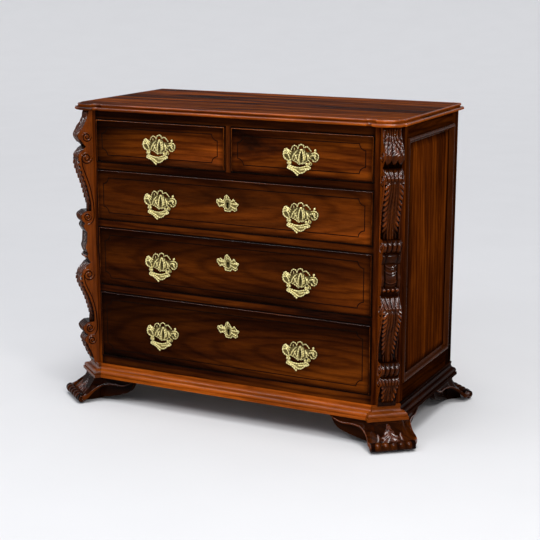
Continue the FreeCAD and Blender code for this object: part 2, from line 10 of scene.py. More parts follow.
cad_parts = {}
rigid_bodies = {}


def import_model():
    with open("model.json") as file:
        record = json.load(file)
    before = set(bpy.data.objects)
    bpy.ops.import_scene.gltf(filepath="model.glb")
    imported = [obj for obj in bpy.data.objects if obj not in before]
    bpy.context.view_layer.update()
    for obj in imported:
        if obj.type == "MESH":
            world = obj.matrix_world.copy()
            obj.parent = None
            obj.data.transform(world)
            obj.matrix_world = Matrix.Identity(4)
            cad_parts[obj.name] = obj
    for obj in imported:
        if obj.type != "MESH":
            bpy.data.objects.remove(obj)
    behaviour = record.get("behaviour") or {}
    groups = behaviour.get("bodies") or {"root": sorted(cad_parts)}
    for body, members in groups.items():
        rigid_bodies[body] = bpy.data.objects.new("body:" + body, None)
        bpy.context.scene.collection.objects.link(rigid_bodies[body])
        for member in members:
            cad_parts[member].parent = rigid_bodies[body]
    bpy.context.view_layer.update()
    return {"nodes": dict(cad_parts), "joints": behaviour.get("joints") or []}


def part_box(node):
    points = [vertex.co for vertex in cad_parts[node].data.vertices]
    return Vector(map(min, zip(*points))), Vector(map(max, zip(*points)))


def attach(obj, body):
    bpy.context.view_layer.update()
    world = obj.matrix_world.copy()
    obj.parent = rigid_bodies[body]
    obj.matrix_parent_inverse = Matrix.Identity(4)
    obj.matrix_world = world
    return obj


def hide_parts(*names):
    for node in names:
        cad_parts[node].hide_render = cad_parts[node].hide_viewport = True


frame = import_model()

bl_info = {
    "name": "Rosewood Chest",
    "version": (1, 0, 0),
    "blender": (4, 5, 0),
    "location": "View3D > Sidebar > Chest",
    "description": "Finishes a rosewood chest of drawers with carved corners and brass handles",
    "category": "Object",
}

MM = 0.001
CANT_FRONT_LEG = 0.062
CANT_SIDE_LEG = 0.050
ALONG = Vector((CANT_FRONT_LEG, CANT_SIDE_LEG, 0)).normalized()
OUTWARD = Vector((ALONG.y, -ALONG.x, 0))
UP = Vector((0, 0, 1))
LONG_DRAWERS = ("long_bottom", "long_middle", "long_top")
SHORT_DRAWERS = ("short_left", "short_right")
DRAWERS = LONG_DRAWERS + SHORT_DRAWERS

# Meshes: steps in each span of a curve, distance at which two points are one, and the angle of a sharp edge
CURVE_STEPS = 8
WELD = 1e-7
SHARP_ANGLE = math.radians(38)

# Finish of the woods. Tones are against the wood around them, and widths and distances are in metres
COAT_IOR = 1.7
END_GRAIN_TONE = 0.5
# Painted shade: the tone to which the wood darkens along the edges of a box, where gaps and overhangs shade
# it, and where that starts and ends
PAINTED_SHADE_TONE = 0.36
PAINTED_SHADE_START = 0.004
PAINTED_SHADE_END = 0.022
BAND_WANDER = 0.16
BAND_START = 0.030
BAND_END = 0.095
SEAM_TONE = 0.12
SEAM_HALF_WIDTH = 0.0012
JOINT_TONE = 0.08
JOINT_HALF_WIDTH = 0.0011

# Profile of a corner truss, in millimetres: members from the top down, each by drop from its top and reach
# off a plain backing
TRUSS_BACKING = 6.0
TRUSS_PROFILE = {
    "upper_leaf": ((0, 6), (27, 9), (54, 26), (81, 41), (100, 36), (121, 20)),
    "long_leaf": ((0, 20), (18, 37), (37, 43), (63, 41), (94, 32), (131, 20), (179, 10), (212, 9)),
    "gadroon_roll": ((0, 25), (11, 40), (28, 38), (39, 29)),
    "small_roll": ((0, 29), (12, 35), (35, 22)),
    "plain_field": ((0, 22), (31, 24), (48, 28), (71, 20)),
    "bead_row": ((0, 24), (8, 25), (27, 15)),
    "lower_leaf": ((0, 15), (23, 35), (44, 46), (72, 44), (122, 24), (166, 12), (205, 12)),
    "lower_roll": ((0, 29), (13, 45), (31, 41), (43, 31)),
    "foot_leaf": ((0, 31), (17, 39), (38, 34), (65, 22), (100, 11)),
}


def length_setting(name, description, default):
    return FloatProperty(name=name, description=description, default=default, unit="LENGTH")


def colour_setting(name, description, default):
    return FloatVectorProperty(
        name=name, description=description, default=default, subtype="COLOR", min=0.0, max=1.0)


class ChestCarving(bpy.types.PropertyGroup):
    """Sizes of the carved corners and feet."""
    truss_width: length_setting("Truss width", "Width of a truss across the cant", 0.058)
    truss_shift: length_setting(
        "Truss shift", "Middle of a truss from the middle of the cant, towards the side", -0.0025)
    truss_columns: IntProperty(
        name="Truss columns", description="Mesh columns across a truss", default=60, min=12)
    pitch: length_setting("Pitch", "Spacing of mesh rows down the carving", 0.0015)
    relief: FloatProperty(
        name="Relief", description="Depth of the carving against its drawn depth", default=1.0, min=0.0)
    foot_width: length_setting("Foot width", "Width of a scroll toe across the cant", 0.132)
    foot_columns: IntProperty(
        name="Foot columns", description="Mesh columns from wing tip to wing tip", default=190, min=40)


class ChestBrass(bpy.types.PropertyGroup):
    """Sizes and colours of the brass fittings."""
    grain: length_setting("Cast grain", "Size of the cells that fuse a casting", 0.0006)
    post_pitch: length_setting("Post pitch", "Distance between the two posts of a handle", 0.070)
    post_radius: length_setting("Post radius", "Radius of a handle's ball-ended post", 0.0045)
    bright: colour_setting("Bright brass", "Colour of the rubbed brass", (0.80, 0.71, 0.34))
    dull: colour_setting("Dull brass", "Colour of the brass in its hollows", (0.34, 0.27, 0.10))


class ChestWood(bpy.types.PropertyGroup):
    """Colours of the woods."""
    streak: colour_setting("Streak", "Near-black streaks of the rosewood", (0.0065, 0.0018, 0.0008))
    heart: colour_setting("Heart", "Deep red-brown body of the rosewood", (0.040, 0.0075, 0.0009))
    light: colour_setting("Light", "Lighter orange-brown figure of the rosewood", (0.125, 0.0275, 0.0020))
    plain: colour_setting("Plain wood", "Planed wood inside the chest", (0.36, 0.22, 0.11))
    gloss: FloatProperty(
        name="Gloss", description="Roughness of the polish", default=0.24, min=0.0, max=1.0)


class ChestStage(bpy.types.PropertyGroup):
    """Camera and floor."""
    azimuth: FloatProperty(
        name="Azimuth", description="Turn of the camera to the right of the front",
        default=math.radians(26.41), subtype="ANGLE")
    elevation: FloatProperty(
        name="Elevation", description="Height of the camera above the horizon",
        default=math.radians(13.14), subtype="ANGLE")
    distance: length_setting("Distance", "Camera to the point that it looks at", 4.372)
    target: FloatVectorProperty(
        name="Target", description="Point that the camera looks at", default=(0.0086, 0.0, 0.4425),
        subtype="XYZ", unit="LENGTH")
    lens: FloatProperty(
        name="Lens", description="Focal length in millimetres on a 36 mm frame", default=87.2)
    floor_size: length_setting("Floor size", "Radius of the flat floor", 10.0)
    floor_colour: colour_setting("Floor colour", "Pale studio floor", (0.80, 0.80, 0.798))


# Small sums

def mixed(a, b, share):
    return a + (b - a) * share


def clamped(value):
    return min(1.0, max(0.0, value))


def eased(low, high, value):
    share = clamped((value - low) / (high - low))
    return share * share * (3.0 - 2.0 * share)


def lobed(phase, power=0.6):
    """A row of rounded ridges with sharp valleys, one for each whole number of phase."""
    return math.sin(math.pi * (phase % 1.0)) ** power


def fluted(across, count, power):
    """So many rounded ridges side by side while across runs from -1 to 1."""
    return lobed((across + 1.0) / 2.0 * count, power)


def bent(a, b, c, d, share):
    """A point between b and c on the smooth curve through four points."""
    return 0.5 * (2 * b + (c - a) * share + (2 * a - 5 * b + 4 * c - d) * share * share
                  + (3 * b - a - 3 * c + d) * share * share * share)


def through(points, steps=CURVE_STEPS):
    """Points along a smooth curve through the given ones, with so many steps in each span."""
    ends = [points[0]] + list(points) + [points[-1]]
    made = []
    for index in range(1, len(ends) - 2):
        span = [Vector(point) for point in ends[index - 1:index + 3]]
        made += [bent(*span, step / steps) for step in range(steps)]
    made.append(Vector(ends[-1]))
    return made


# Building blocks of meshes

def new_mesh(name, bm):
    mesh = bpy.data.meshes.new(name)
    bm.to_mesh(mesh)
    bm.free()
    return mesh


def wrapped_solid(columns, loop, place):
    """A closed solid: a grid bent round a closed outline, with its two ends filled.

    place gives a point and its depth of carving for a share across and a station of the outline.
    """
    bm = bmesh.new()
    layer = bm.verts.layers.float.new("carving")
    rows = len(loop)
    bmesh.ops.create_grid(bm, x_segments=columns, y_segments=rows, size=0.5)
    for vert in bm.verts:
        across = round((vert.co.x + 0.5) * columns) / columns
        row = round((vert.co.y + 0.5) * rows) % rows
        vert.co, vert[layer] = place(across, loop[row])
    bmesh.ops.remove_doubles(bm, verts=bm.verts, dist=WELD)
    rims = [edge for edge in bm.edges if edge.is_boundary]
    caps = bmesh.ops.holes_fill(bm, edges=rims, sides=0)["faces"]
    bmesh.ops.triangulate(bm, faces=caps)
    bmesh.ops.recalc_face_normals(bm, faces=bm.faces)
    return bm


def curve_mesh(curve, strokes, closed):
    """Turns strokes, each a list of (x, y, z, radius), into a mesh in the way that the curve is set up."""
    for stroke in strokes:
        spline = curve.splines.new("POLY")
        spline.points.add(len(stroke) - 1)
        spline.use_cyclic_u = closed
        for point, (x, y, z, radius) in zip(spline.points, stroke):
            point.co = (x, y, z, 1.0)
            point.radius = radius
    carrier = bpy.data.objects.new(curve.name, curve)
    mesh = bpy.data.meshes.new_from_object(carrier)
    bpy.data.objects.remove(carrier)
    bpy.data.curves.remove(curve)
    return mesh


def tube_mesh(strokes, sides=6):
    """Round strokes: each is a list of (x, y, z, radius) in metres along a smooth curve."""
    curve = bpy.data.curves.new("strokes", "CURVE")
    curve.dimensions = "3D"
    curve.bevel_depth = 1.0
    curve.bevel_resolution = sides // 2
    curve.use_fill_caps = True
    return curve_mesh(curve, strokes, closed=False)


def sheet_mesh(outline, holes, thickness):
    """A flat plate in X and Z, its back on Y = 0, with holes where the inner outlines run."""
    curve = bpy.data.curves.new("sheet", "CURVE")
    curve.dimensions = "2D"
    curve.fill_mode = "BOTH"
    curve.extrude = thickness / 2
    rings = [[(x, z, 0.0, 1.0) for x, z in ring] for ring in [outline] + list(holes)]
    mesh = curve_mesh(curve, rings, closed=True)
    mesh.transform(Matrix.Translation((0, -thickness / 2, 0)) @ Matrix.Rotation(math.pi / 2, 4, "X"))
    return mesh


def ball_mesh(centre, radius):
    bm = bmesh.new()
    bmesh.ops.create_icosphere(bm, subdivisions=3, radius=radius)
    bmesh.ops.translate(bm, verts=bm.verts, vec=centre)
    return new_mesh("ball", bm)


def rod_mesh(start, end, radius, sides=20):
    """A plain round rod between two points."""
    start, end = Vector(start), Vector(end)
    run = end - start
    bm = bmesh.new()
    bmesh.ops.create_cone(
        bm, cap_ends=True, segments=sides, radius1=radius, radius2=radius, depth=run.length)
    turn = UP.rotation_difference(run).to_matrix().to_4x4()
    bmesh.ops.transform(bm, matrix=Matrix.Translation((start + end) / 2) @ turn, verts=bm.verts)
    return new_mesh("rod", bm)


def joined(meshes, name, plain=0.6):
    """One mesh of several, which are then let go. plain is the depth of carving of those that have none."""
    bm = bmesh.new()
    for mesh in meshes:
        if "carving" not in mesh.attributes:
            depths = mesh.attributes.new("carving", "FLOAT", "POINT")
            depths.data.foreach_set("value", [plain] * len(mesh.vertices))
        bm.from_mesh(mesh)
        bpy.data.meshes.remove(mesh)
    return new_mesh(name, bm)


def fused(meshes, cell, name):
    """A casting: overlapping solids melted into one skin."""
    blank = joined(meshes, name)
    carrier = bpy.data.objects.new(name, blank)
    bpy.context.scene.collection.objects.link(carrier)
    remesh = carrier.modifiers.new("Fuse", "REMESH")
    remesh.mode = "VOXEL"
    remesh.voxel_size = cell
    soften = carrier.modifiers.new("Soften", "SMOOTH")
    soften.factor = 0.5
    soften.iterations = 2
    ready = carrier.evaluated_get(bpy.context.evaluated_depsgraph_get())
    mesh = bpy.data.meshes.new_from_object(ready)
    bpy.data.objects.remove(carrier)
    bpy.data.meshes.remove(blank)
    mesh.name = name
    return mesh


def measured(mesh, low, high):
    """Stores how far each point of a casting stands forward: 0 on the web, 1 on the ridges."""
    if "carving" in mesh.attributes:
        mesh.attributes.remove(mesh.attributes["carving"])
    depths = mesh.attributes.new("carving", "FLOAT", "POINT")
    depths.data.foreach_set("value", [eased(low, high, -vert.co.y) for vert in mesh.vertices])
    return mesh


def moved(mesh, matrix, name):
    copy = mesh.copy()
    copy.name = name
    copy.transform(matrix)
    if matrix.determinant() < 0:
        copy.flip_normals()
    return copy


def keep(mesh, name, body, nodes, material):
    """Puts a finished mesh in the scene, on its body and in place of its CAD nodes."""
    piece = bpy.data.objects.new(name, mesh)
    bpy.context.scene.collection.objects.link(piece)
    mesh.materials.clear()
    mesh.materials.append(material)
    mesh.shade_smooth()
    mesh.set_sharp_from_angle(angle=SHARP_ANGLE)
    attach(piece, body)
    if nodes:
        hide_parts(*nodes)


# Finishes

class Graph:
    """Short ways to add and join a material's nodes."""

    def __init__(self, name):
        self.material = bpy.data.materials.get(name) or bpy.data.materials.new(name)
        self.material.use_nodes = True
        self.tree = self.material.node_tree
        self.tree.nodes.clear()
        self.shader = self.add("ShaderNodeBsdfPrincipled")
        self.join(self.shader, "BSDF", self.add("ShaderNodeOutputMaterial"), "Surface")

    def add(self, kind, entries=(), **settings):
        """A new node with its settings, and with constants on some of its inputs."""
        node = self.tree.nodes.new(kind)
        for key, value in settings.items():
            setattr(node, key, value)
        for entry, value in entries:
            node.inputs[entry].default_value = value
        return node

    def join(self, source, output, target, entry):
        self.tree.links.new(source.outputs[output], target.inputs[entry])

    def place(self, stretch=(1, 1, 1), shift=(0, 0, 0)):
        """Object coordinates, scaled on each axis and shifted."""
        entries = (("Scale", stretch), ("Location", shift))
        mapping = self.add("ShaderNodeMapping", entries, vector_type="POINT")
        self.join(self.add("ShaderNodeTexCoord"), "Object", mapping, "Vector")
        return mapping

    def axes(self):
        """The three object coordinates, one by one."""
        split = self.add("ShaderNodeSeparateXYZ")
        self.join(self.add("ShaderNodeTexCoord"), "Object", split, "Vector")
        return split

    def stepped(self, source, output, start, end, low, high):
        """Runs from low to high while the source runs from start to end."""
        entries = (("From Min", start), ("From Max", end), ("To Min", low), ("To Max", high))
        node = self.add("ShaderNodeMapRange", entries)
        self.join(source, output, node, "Value")
        return node

    def line(self, axes, axis, place, half_width):
        """1 within a line across an axis, and 0 outside it."""
        node = self.add("ShaderNodeMath", ((1, place), (2, half_width)), operation="COMPARE")
        self.join(axes, axis, node, 0)
        return node

    def product(self, nodes):
        """The product of several map ranges."""
        made, output = nodes[0], "Result"
        for node in nodes[1:]:
            times = self.add("ShaderNodeMath", operation="MULTIPLY")
            self.join(made, output, times, 0)
            self.join(node, "Result", times, 1)
            made, output = times, "Value"
        return made, output

    def rings(self, stretch, centre, scale, distortion):
        """Growth rings about a centre, drawn out along the grain."""
        mapping = self.place(stretch, tuple(-share * value for share, value in zip(stretch, centre)))
        entries = (("Scale", scale), ("Distortion", distortion), ("Detail", 4.0), ("Detail Scale", 1.6))
        node = self.add("ShaderNodeTexWave", entries, wave_type="RINGS", rings_direction="SPHERICAL")
        self.join(mapping, "Vector", node, "Vector")
        return node

    def noise(self, mapping, scale, detail, roughness=0.5, distortion=0.0):
        entries = (
            ("Scale", scale), ("Detail", detail), ("Roughness", roughness), ("Distortion", distortion))
        node = self.add("ShaderNodeTexNoise", entries)
        self.join(mapping, "Vector", node, "Vector")
        return node

    def ramp(self, source, output, stops):
        node = self.add("ShaderNodeValToRGB")
        while len(node.color_ramp.elements) < len(stops):
            node.color_ramp.elements.new(0.5)
        for element, (position, colour) in zip(node.color_ramp.elements, stops):
            element.position = position
            element.color = (*colour, 1.0)
        self.join(source, output, node, "Fac")
        return node

    def blend(self, mode, factor, first, second):
        """Mixes two colours, each a node or a plain colour. factor is a number, or a node and its output."""
        node = self.add("ShaderNodeMix", data_type="RGBA", blend_type=mode)
        if isinstance(factor, (int, float)):
            node.inputs[0].default_value = factor
        else:
            self.join(*factor, node, 0)
        for socket, value in ((6, first), (7, second)):
            if isinstance(value, tuple):
                node.inputs[socket].default_value = (*value, 1.0)
            else:
                self.join(value, 2 if value.bl_idname == "ShaderNodeMix" else "Color", node, socket)
        return node

    def bump(self, source, output, distance, strength):
        node = self.add("ShaderNodeBump", (("Distance", distance), ("Strength", strength)))
        self.join(source, output, node, "Height")
        self.join(node, "Normal", self.shader, "Normal")


def along_grain(grain, share):
    """Scales of the three axes that draw a pattern out along the grain."""
    return tuple(share if axis == grain else 1.0 for axis in "xyz")


def grey(value):
    return (value, value, value)


def rosewood_figure(graph, grain, shift, tone, glow, calm, heart):
    """The wood's colour and middling shade, and what its finish follows: clouds, pores and streaks."""
    wood = bpy.context.scene.chest_wood
    shades = (wood.streak, wood.heart, wood.light)
    dark, body, light = (tuple(channel * tone for channel in shade) for shade in shades)
    middle = tuple(mixed(low, high, 0.5) for low, high in zip(body, light))
    dark, body = (
        tuple(mixed(low, high, calm) for low, high in zip(shade, middle)) for shade in (dark, body))
    streaks = graph.place(along_grain(grain, 0.11), shift)
    figure = graph.noise(streaks, 7.5, 6.0, 0.6, 1.3)
    colour = graph.ramp(figure, "Fac", (
        (0.36, dark), (0.47, body), (mixed(0.66, 0.53, glow), middle), (mixed(0.84, 0.66, glow), light)))
    clouds = graph.noise(graph.place(along_grain(grain, 0.3), shift), 4.2, 2.0)
    shade = graph.ramp(clouds, "Fac", ((0.36, grey(0.34)), (0.50, grey(0.90)), (0.64, grey(1.25))))
    colour = graph.blend("MULTIPLY", 0.85 * (1.0 - calm), colour, shade)
    centre = heart or tuple(0.3 + value for value in shift)
    rings = graph.rings(along_grain(grain, 0.16), centre, 15.0, 3.2)
    veins = graph.ramp(rings, "Fac", ((0.0, (0.34, 0.30, 0.28)), (0.22, grey(0.74)), (0.55, grey(1.0))))
    colour = graph.blend("MULTIPLY", 0.75 * (1.0 - calm), colour, veins)
    fine = graph.noise(streaks, 95.0, 4.0, 0.6)
    lines = graph.ramp(fine, "Fac", ((0.34, (0.55, 0.50, 0.47)), (0.62, grey(1.15))))
    colour = graph.blend("MULTIPLY", 0.65, colour, lines)
    pores = graph.noise(graph.place(along_grain(grain, 0.05), shift), 520.0, 2.0)
    pits = graph.ramp(pores, "Fac", ((0.30, (0.35, 0.32, 0.30)), (0.40, grey(1.0))))
    return graph.blend("MULTIPLY", 0.6, colour, pits), middle, clouds, pores, streaks


def rosewood_tone(graph, turned, clouds, fade, painted_shade_box, edge, band, seams):
    """What lightens or darkens the wood from place to place, as a node and its output: painted light,
    painted highlights and painted shade among them, besides dark streaks and glue lines.
    """
    axes = graph.axes()
    ends = (painted_shade_box[0].x, painted_shade_box[1].x) if painted_shade_box else (-0.5, 0.5)
    # fade lightens the wood towards the right: painted light
    parts = [graph.stepped(axes, "X", *ends, 1.0 - fade, 1.0 + fade)]
    # A moulded edge lightened against its flat top: a painted highlight
    if edge:
        parts.append(graph.stepped(turned, "Z", 0.3, 0.95, edge, 1.0))
    if band:
        wander = graph.add("ShaderNodeMath", ((1, BAND_WANDER),), operation="MULTIPLY_ADD")
        graph.join(clouds, "Fac", wander, 0)
        graph.join(axes, "Z", wander, 2)
        top = painted_shade_box[1].z + BAND_WANDER / 2
        parts.append(graph.stepped(wander, "Value", top - BAND_END, top - BAND_START, 1.0, band))
    # Painted shade along the edges of the box, darkest at its very edges
    if painted_shade_box:
        low, high = painted_shade_box
        level = ("X", low.x, high.x) if high.x - low.x > high.y - low.y else ("Y", low.y, high.y)
        for axis, start, end in (level, ("Z", low.z, high.z)):
            parts.append(graph.stepped(axes, axis, start + PAINTED_SHADE_START, start + PAINTED_SHADE_END, PAINTED_SHADE_TONE, 1.0))
            parts.append(graph.stepped(axes, axis, end - PAINTED_SHADE_START, end - PAINTED_SHADE_END, PAINTED_SHADE_TONE, 1.0))
    for place, start in seams:
        beyond = graph.add("ShaderNodeMath", ((1, start),), operation="GREATER_THAN")
        graph.join(axes, "X", beyond, 0)
        both = graph.add("ShaderNodeMath", operation="MULTIPLY")
        graph.join(graph.line(axes, "Y", place, SEAM_HALF_WIDTH), "Value", both, 0)
        graph.join(beyond, "Value", both, 1)
        parts.append(graph.stepped(both, "Value", 0.0, 1.0, 1.0, SEAM_TONE))
    return graph.product(parts)


def rosewood(name, grain, shift, tone, glow, shine, crown=0.0, calm=0.0, heart=None, fade=0.0, painted_shade_box=None,
             edge=None, band=None, seams=(), carved=None, rough=1.0):
    """Polished rosewood: dark streaks along the grain, growth rings, fine pores, and wax with painted shade
    in hollow carving and painted highlights on its ridges.

    tone lightens or darkens a board, glow is how much of the lighter figure shows, shine is the strength of
    its polish and crown is what hands have added on surfaces that face partly upward. calm evens out the
    streaks, heart is the centre of its rings, and fade lightens it towards the right as painted light. The
    box given for painted shade is the one along whose edges the wood is darkened as painted shade, edge is
    the tone of a moulded edge against its flat top, which paints a highlight on it, band the tone of a dark
    streak that wanders along the upper edge of that box, and seams are glue lines across Y, each with the X
    at which it starts. carved is the height in the carving at which its polish starts and is full, and rough
    is how rough the polish is against the other pieces.
    """
    gloss = bpy.context.scene.chest_wood.gloss * rough
    graph = Graph(name)
    colour, middle, clouds, pores, streaks = rosewood_figure(graph, grain, shift, tone, glow, calm, heart)
    turned = graph.add("ShaderNodeSeparateXYZ")
    graph.join(graph.add("ShaderNodeNewGeometry"), "Normal", turned, "Vector")
    across = graph.add("ShaderNodeMath", operation="ABSOLUTE")
    graph.join(turned, grain.upper(), across, 0)
    cut = graph.stepped(across, "Value", 0.35, 0.75, 0.0, 0.85)
    end_grain = tuple(END_GRAIN_TONE * channel for channel in middle)
    colour = graph.blend("MIX", (cut, "Result"), colour, end_grain)
    if carved:
        depth = graph.add("ShaderNodeAttribute", attribute_name="carving")
        # Wax in the hollows of the carving, with painted shade that darkens them nearly to black and a
        # painted highlight that lightens the ridges
        wax_and_painted_shade = graph.ramp(depth, "Fac", (
            (0.06, (0.07, 0.06, 0.05)), (0.36, grey(0.24)), (0.70, grey(0.62)), (0.92, (1.4, 1.35, 1.3))))
        colour = graph.blend("MULTIPLY", 1.0, colour, wax_and_painted_shade)
    if crown:
        crowns = [graph.stepped(turned, "Z", 0.12, 0.45, 0.0, crown),
                  graph.stepped(turned, "Z", 0.80, 0.97, 1.0, 0.0)]
        if carved:
            crowns.append(graph.stepped(depth, "Fac", *carved, 0.0, 1.0))
        graph.join(*graph.product(crowns), graph.shader, "Coat Weight")
        graph.shader.inputs["Coat IOR"].default_value = COAT_IOR
        graph.shader.inputs["Coat Roughness"].default_value = gloss
    graph.shader.inputs["Specular IOR Level"].default_value = shine
    toned = graph.add("ShaderNodeVectorMath", operation="SCALE")
    graph.join(colour, 2, toned, 0)
    graph.join(*rosewood_tone(graph, turned, clouds, fade, painted_shade_box, edge, band, seams), toned, "Scale")
    graph.join(toned, "Vector", graph.shader, "Base Color")
    polish = graph.noise(streaks, 22.0, 3.0)
    sheen = graph.stepped(polish, "Fac", 0.0, 1.0, gloss * 0.75, gloss * 1.35)
    graph.join(sheen, "Result", graph.shader, "Roughness")
    graph.bump(pores, "Fac", 0.00012, 0.35)
    return graph.material


def wax_and_painted_shadow(name):
    """Old wax and dirt in the lines of the drawers, darkened to near black as painted shade, and painted
    shadow in the gaps round their lips.
    """
    graph = Graph(name)
    spots = graph.noise(graph.place(), 60.0, 3.0)
    colour = graph.ramp(spots, "Fac", ((0.4, (0.0025, 0.0012, 0.0008)), (0.65, (0.009, 0.003, 0.0012))))
    graph.join(colour, "Color", graph.shader, "Base Color")
    graph.shader.inputs["Roughness"].default_value = 0.6
    graph.shader.inputs["Specular IOR Level"].default_value = 0.02
    return graph.material


def plain_wood(name, grain, shift, tone=1.0, joints=()):
    """Planed secondary wood with a straight grain, browned by age. joints are heights of open joints."""
    graph = Graph(name)
    mapping = graph.place(along_grain(grain, 0.08), shift)
    figure = graph.noise(mapping, 16.0, 5.0, 0.6, 0.5)
    base = tuple(channel * tone for channel in bpy.context.scene.chest_wood.plain)
    dark = tuple(channel * 0.55 for channel in base)
    colour = graph.ramp(figure, "Fac", ((0.30, dark), (0.70, base)))
    fine = graph.noise(mapping, 160.0, 3.0)
    lines = graph.ramp(fine, "Fac", ((0.35, (0.72, 0.68, 0.62)), (0.6, grey(1.0))))
    colour = graph.blend("MULTIPLY", 0.8, colour, lines)
    stain = graph.noise(graph.place(shift=shift), 5.0, 4.0)
    soot = graph.ramp(stain, "Fac", ((0.35, (0.66, 0.60, 0.54)), (0.65, grey(1.0))))
    colour = graph.blend("MULTIPLY", 0.6, colour, soot)
    axes = graph.axes()
    for height in joints:
        gap = graph.line(axes, "Z", height, JOINT_HALF_WIDTH)
        shadow = graph.ramp(gap, "Value", ((0.0, grey(1.0)), (1.0, grey(JOINT_TONE))))
        colour = graph.blend("MULTIPLY", 1.0, colour, shadow)
    graph.join(colour, 2, graph.shader, "Base Color")
    dry = graph.stepped(fine, "Fac", 0.0, 1.0, 0.55, 0.8)
    graph.join(dry, "Result", graph.shader, "Roughness")
    graph.bump(fine, "Fac", 0.0003, 0.4)
    return graph.material


def cast_brass(name):
    """Satin cast brass, rubbed bright on its ridges and nearly black in its hollows."""
    brass = bpy.context.scene.chest_brass
    graph = Graph(name)
    mapping = graph.place()
    depth = graph.add("ShaderNodeAttribute", attribute_name="carving")
    bright = tuple(brass.bright)
    wear = graph.ramp(depth, "Fac", (
        (0.02, (0.085, 0.062, 0.022)), (0.30, tuple(brass.dull)), (0.66, bright),
        (0.95, tuple(min(1.0, channel * 1.25) for channel in bright))))
    mottle = graph.noise(mapping, 260.0, 4.0)
    tint = graph.ramp(mottle, "Fac", ((0.35, (0.66, 0.64, 0.56)), (0.62, grey(1.0))))
    colour = graph.blend("MULTIPLY", 0.8, wear, tint)
    graph.join(colour, 2, graph.shader, "Base Color")
    graph.shader.inputs["Metallic"].default_value = 1.0
    satin = graph.stepped(mottle, "Fac", 0.0, 1.0, 0.28, 0.46)
    graph.join(satin, "Result", graph.shader, "Roughness")
    sand = graph.noise(mapping, 1400.0, 2.0)
    graph.bump(sand, "Fac", 0.0001, 0.3)
    return graph.material


def old_iron(name):
    """Dark lock iron with a trace of rust."""
    graph = Graph(name)
    spots = graph.noise(graph.place(), 120.0, 5.0)
    colour = graph.ramp(spots, "Fac", (
        (0.4, (0.09, 0.085, 0.08)), (0.62, (0.16, 0.15, 0.14)), (0.75, (0.15, 0.07, 0.03))))
    graph.join(colour, "Color", graph.shader, "Base Color")
    graph.shader.inputs["Metallic"].default_value = 0.85
    dull = graph.stepped(spots, "Fac", 0.0, 1.0, 0.45, 0.7)
    graph.join(dull, "Result", graph.shader, "Roughness")
    graph.bump(spots, "Fac", 0.0003, 0.4)
    return graph.material


# Carving, in millimetres: across runs from -1 to 1 over a width, drop counts down from a member's top
LEAF_VEIN = 6.0
LEAF_STRAND = 3.0
LEAF_RIB = 4.2
LEAF_GROUND = 4.5
CURL_WIDE = 4.4
CURL_THIN = 1.4
FLOW_WIDE = 5.4
FLOW_THIN = 2.2
ROLL_FLUTE = 7.4
ROLL_GROUND = 3.4
BEAD_SIZE = 6.6
# Middles of the beads in a row, and how many millimetres one unit of across counts for there
BEAD_PLACES = (-0.69, -0.23, 0.23, 0.69)
BEAD_SCALE = 34.5


def member_height(member):
    """How far a member of the truss reaches down from its top."""
    return TRUSS_PROFILE[member][-1][0]


def hanging_leaf(across, share, wide, narrow, lobes):
    """An acanthus leaf that hangs on its stem: a rib, strands beside it and curled lobes at both edges."""
    half = mixed(wide, narrow, share)
    away = abs(across)
    phase = share * lobes
    part = (phase - 1.6) % 1.0
    edge = half * (0.80 + 0.20 * eased(0.0, 0.85, part) * (1.0 - eased(0.90, 1.0, part)))
    inside = 1.0 - eased(edge - 0.06, edge + 0.02, away)
    vein = lobed(phase - 2.2 * away / half, 0.55)
    strand = lobed(3.6 * away / half - 1.6 * share, 0.6)
    outer = eased(0.44, 0.66, away / half)
    blade = 0.4 + LEAF_VEIN * vein * mixed(0.10, 1.0, outer) + LEAF_STRAND * strand * (1.0 - outer)
    rib = LEAF_RIB * (1.0 - eased(0.07, 0.16, away))
    return inside * (blade * eased(0.08, 0.22, away) + rib) - LEAF_GROUND * (1.0 - inside)


def curled_top(across, drop, fall, count):
    """The rolled-over top of a leaf: a fan of flutes that closes up and fades out down the leaf."""
    fade = eased(0.0, 6.0, drop) * (1.0 - eased(fall * 0.8, fall * 1.15, drop))
    spread = across * (0.92 + 0.45 * drop / fall)
    flutes = CURL_WIDE * fluted(spread, count, 0.5) + CURL_THIN * fluted(spread, count * 2.0, 0.7)
    return fade * (flutes - 0.6)


def carve_upper_leaf(across, drop):
    """Strands that sway to both sides, feathered at their edges and split into lobes at the lip."""
    fan = across / (0.56 + 0.46 * eased(0.0, 95.0, drop))
    sway = 0.24 * math.sin(drop / 15.0 - 0.4) * (math.sin(3.0 * across) + 0.35)
    phase = (fan + sway) * 2.0 + 0.35
    flow = FLOW_WIDE * lobed(phase, 0.5) + FLOW_THIN * lobed(phase * 2.0 + drop / 13.0, 0.8)
    lip = 92.0 + 15.0 * fluted(across, 3.0, 0.9)
    calm = 1.0 - 0.75 * eased(68.0, 92.0, drop)
    leaf = eased(0.0, 12.0, drop) * mixed(FLOW_WIDE, flow, calm)
    return leaf - 10.0 * eased(lip, lip + 6.0, drop) - 1.6


def carve_long_leaf(across, drop):
    """A curled top over a long leaf that parts into three at its foot."""
    leaf = hanging_leaf(across, clamped((drop - 34.0) / 165.0), 1.12, 0.86, 10.0)
    gap = eased(165.0, 205.0, drop) * (1.0 - eased(0.16, 0.30, abs(abs(across) - 0.62)))
    return mixed(curled_top(across, drop, 36.0, 4), leaf - 6.0 * gap, eased(30.0, 46.0, drop))


def carve_roll(across, drop, height):
    """Four rounded flutes over a roll."""
    lobe = lobed((across + 1.0) / 2.0 * 4.0 + 0.006 * drop, 0.5)
    return math.sin(math.pi * min(1.0, drop / height)) ** 0.4 * (ROLL_FLUTE * lobe - ROLL_GROUND)


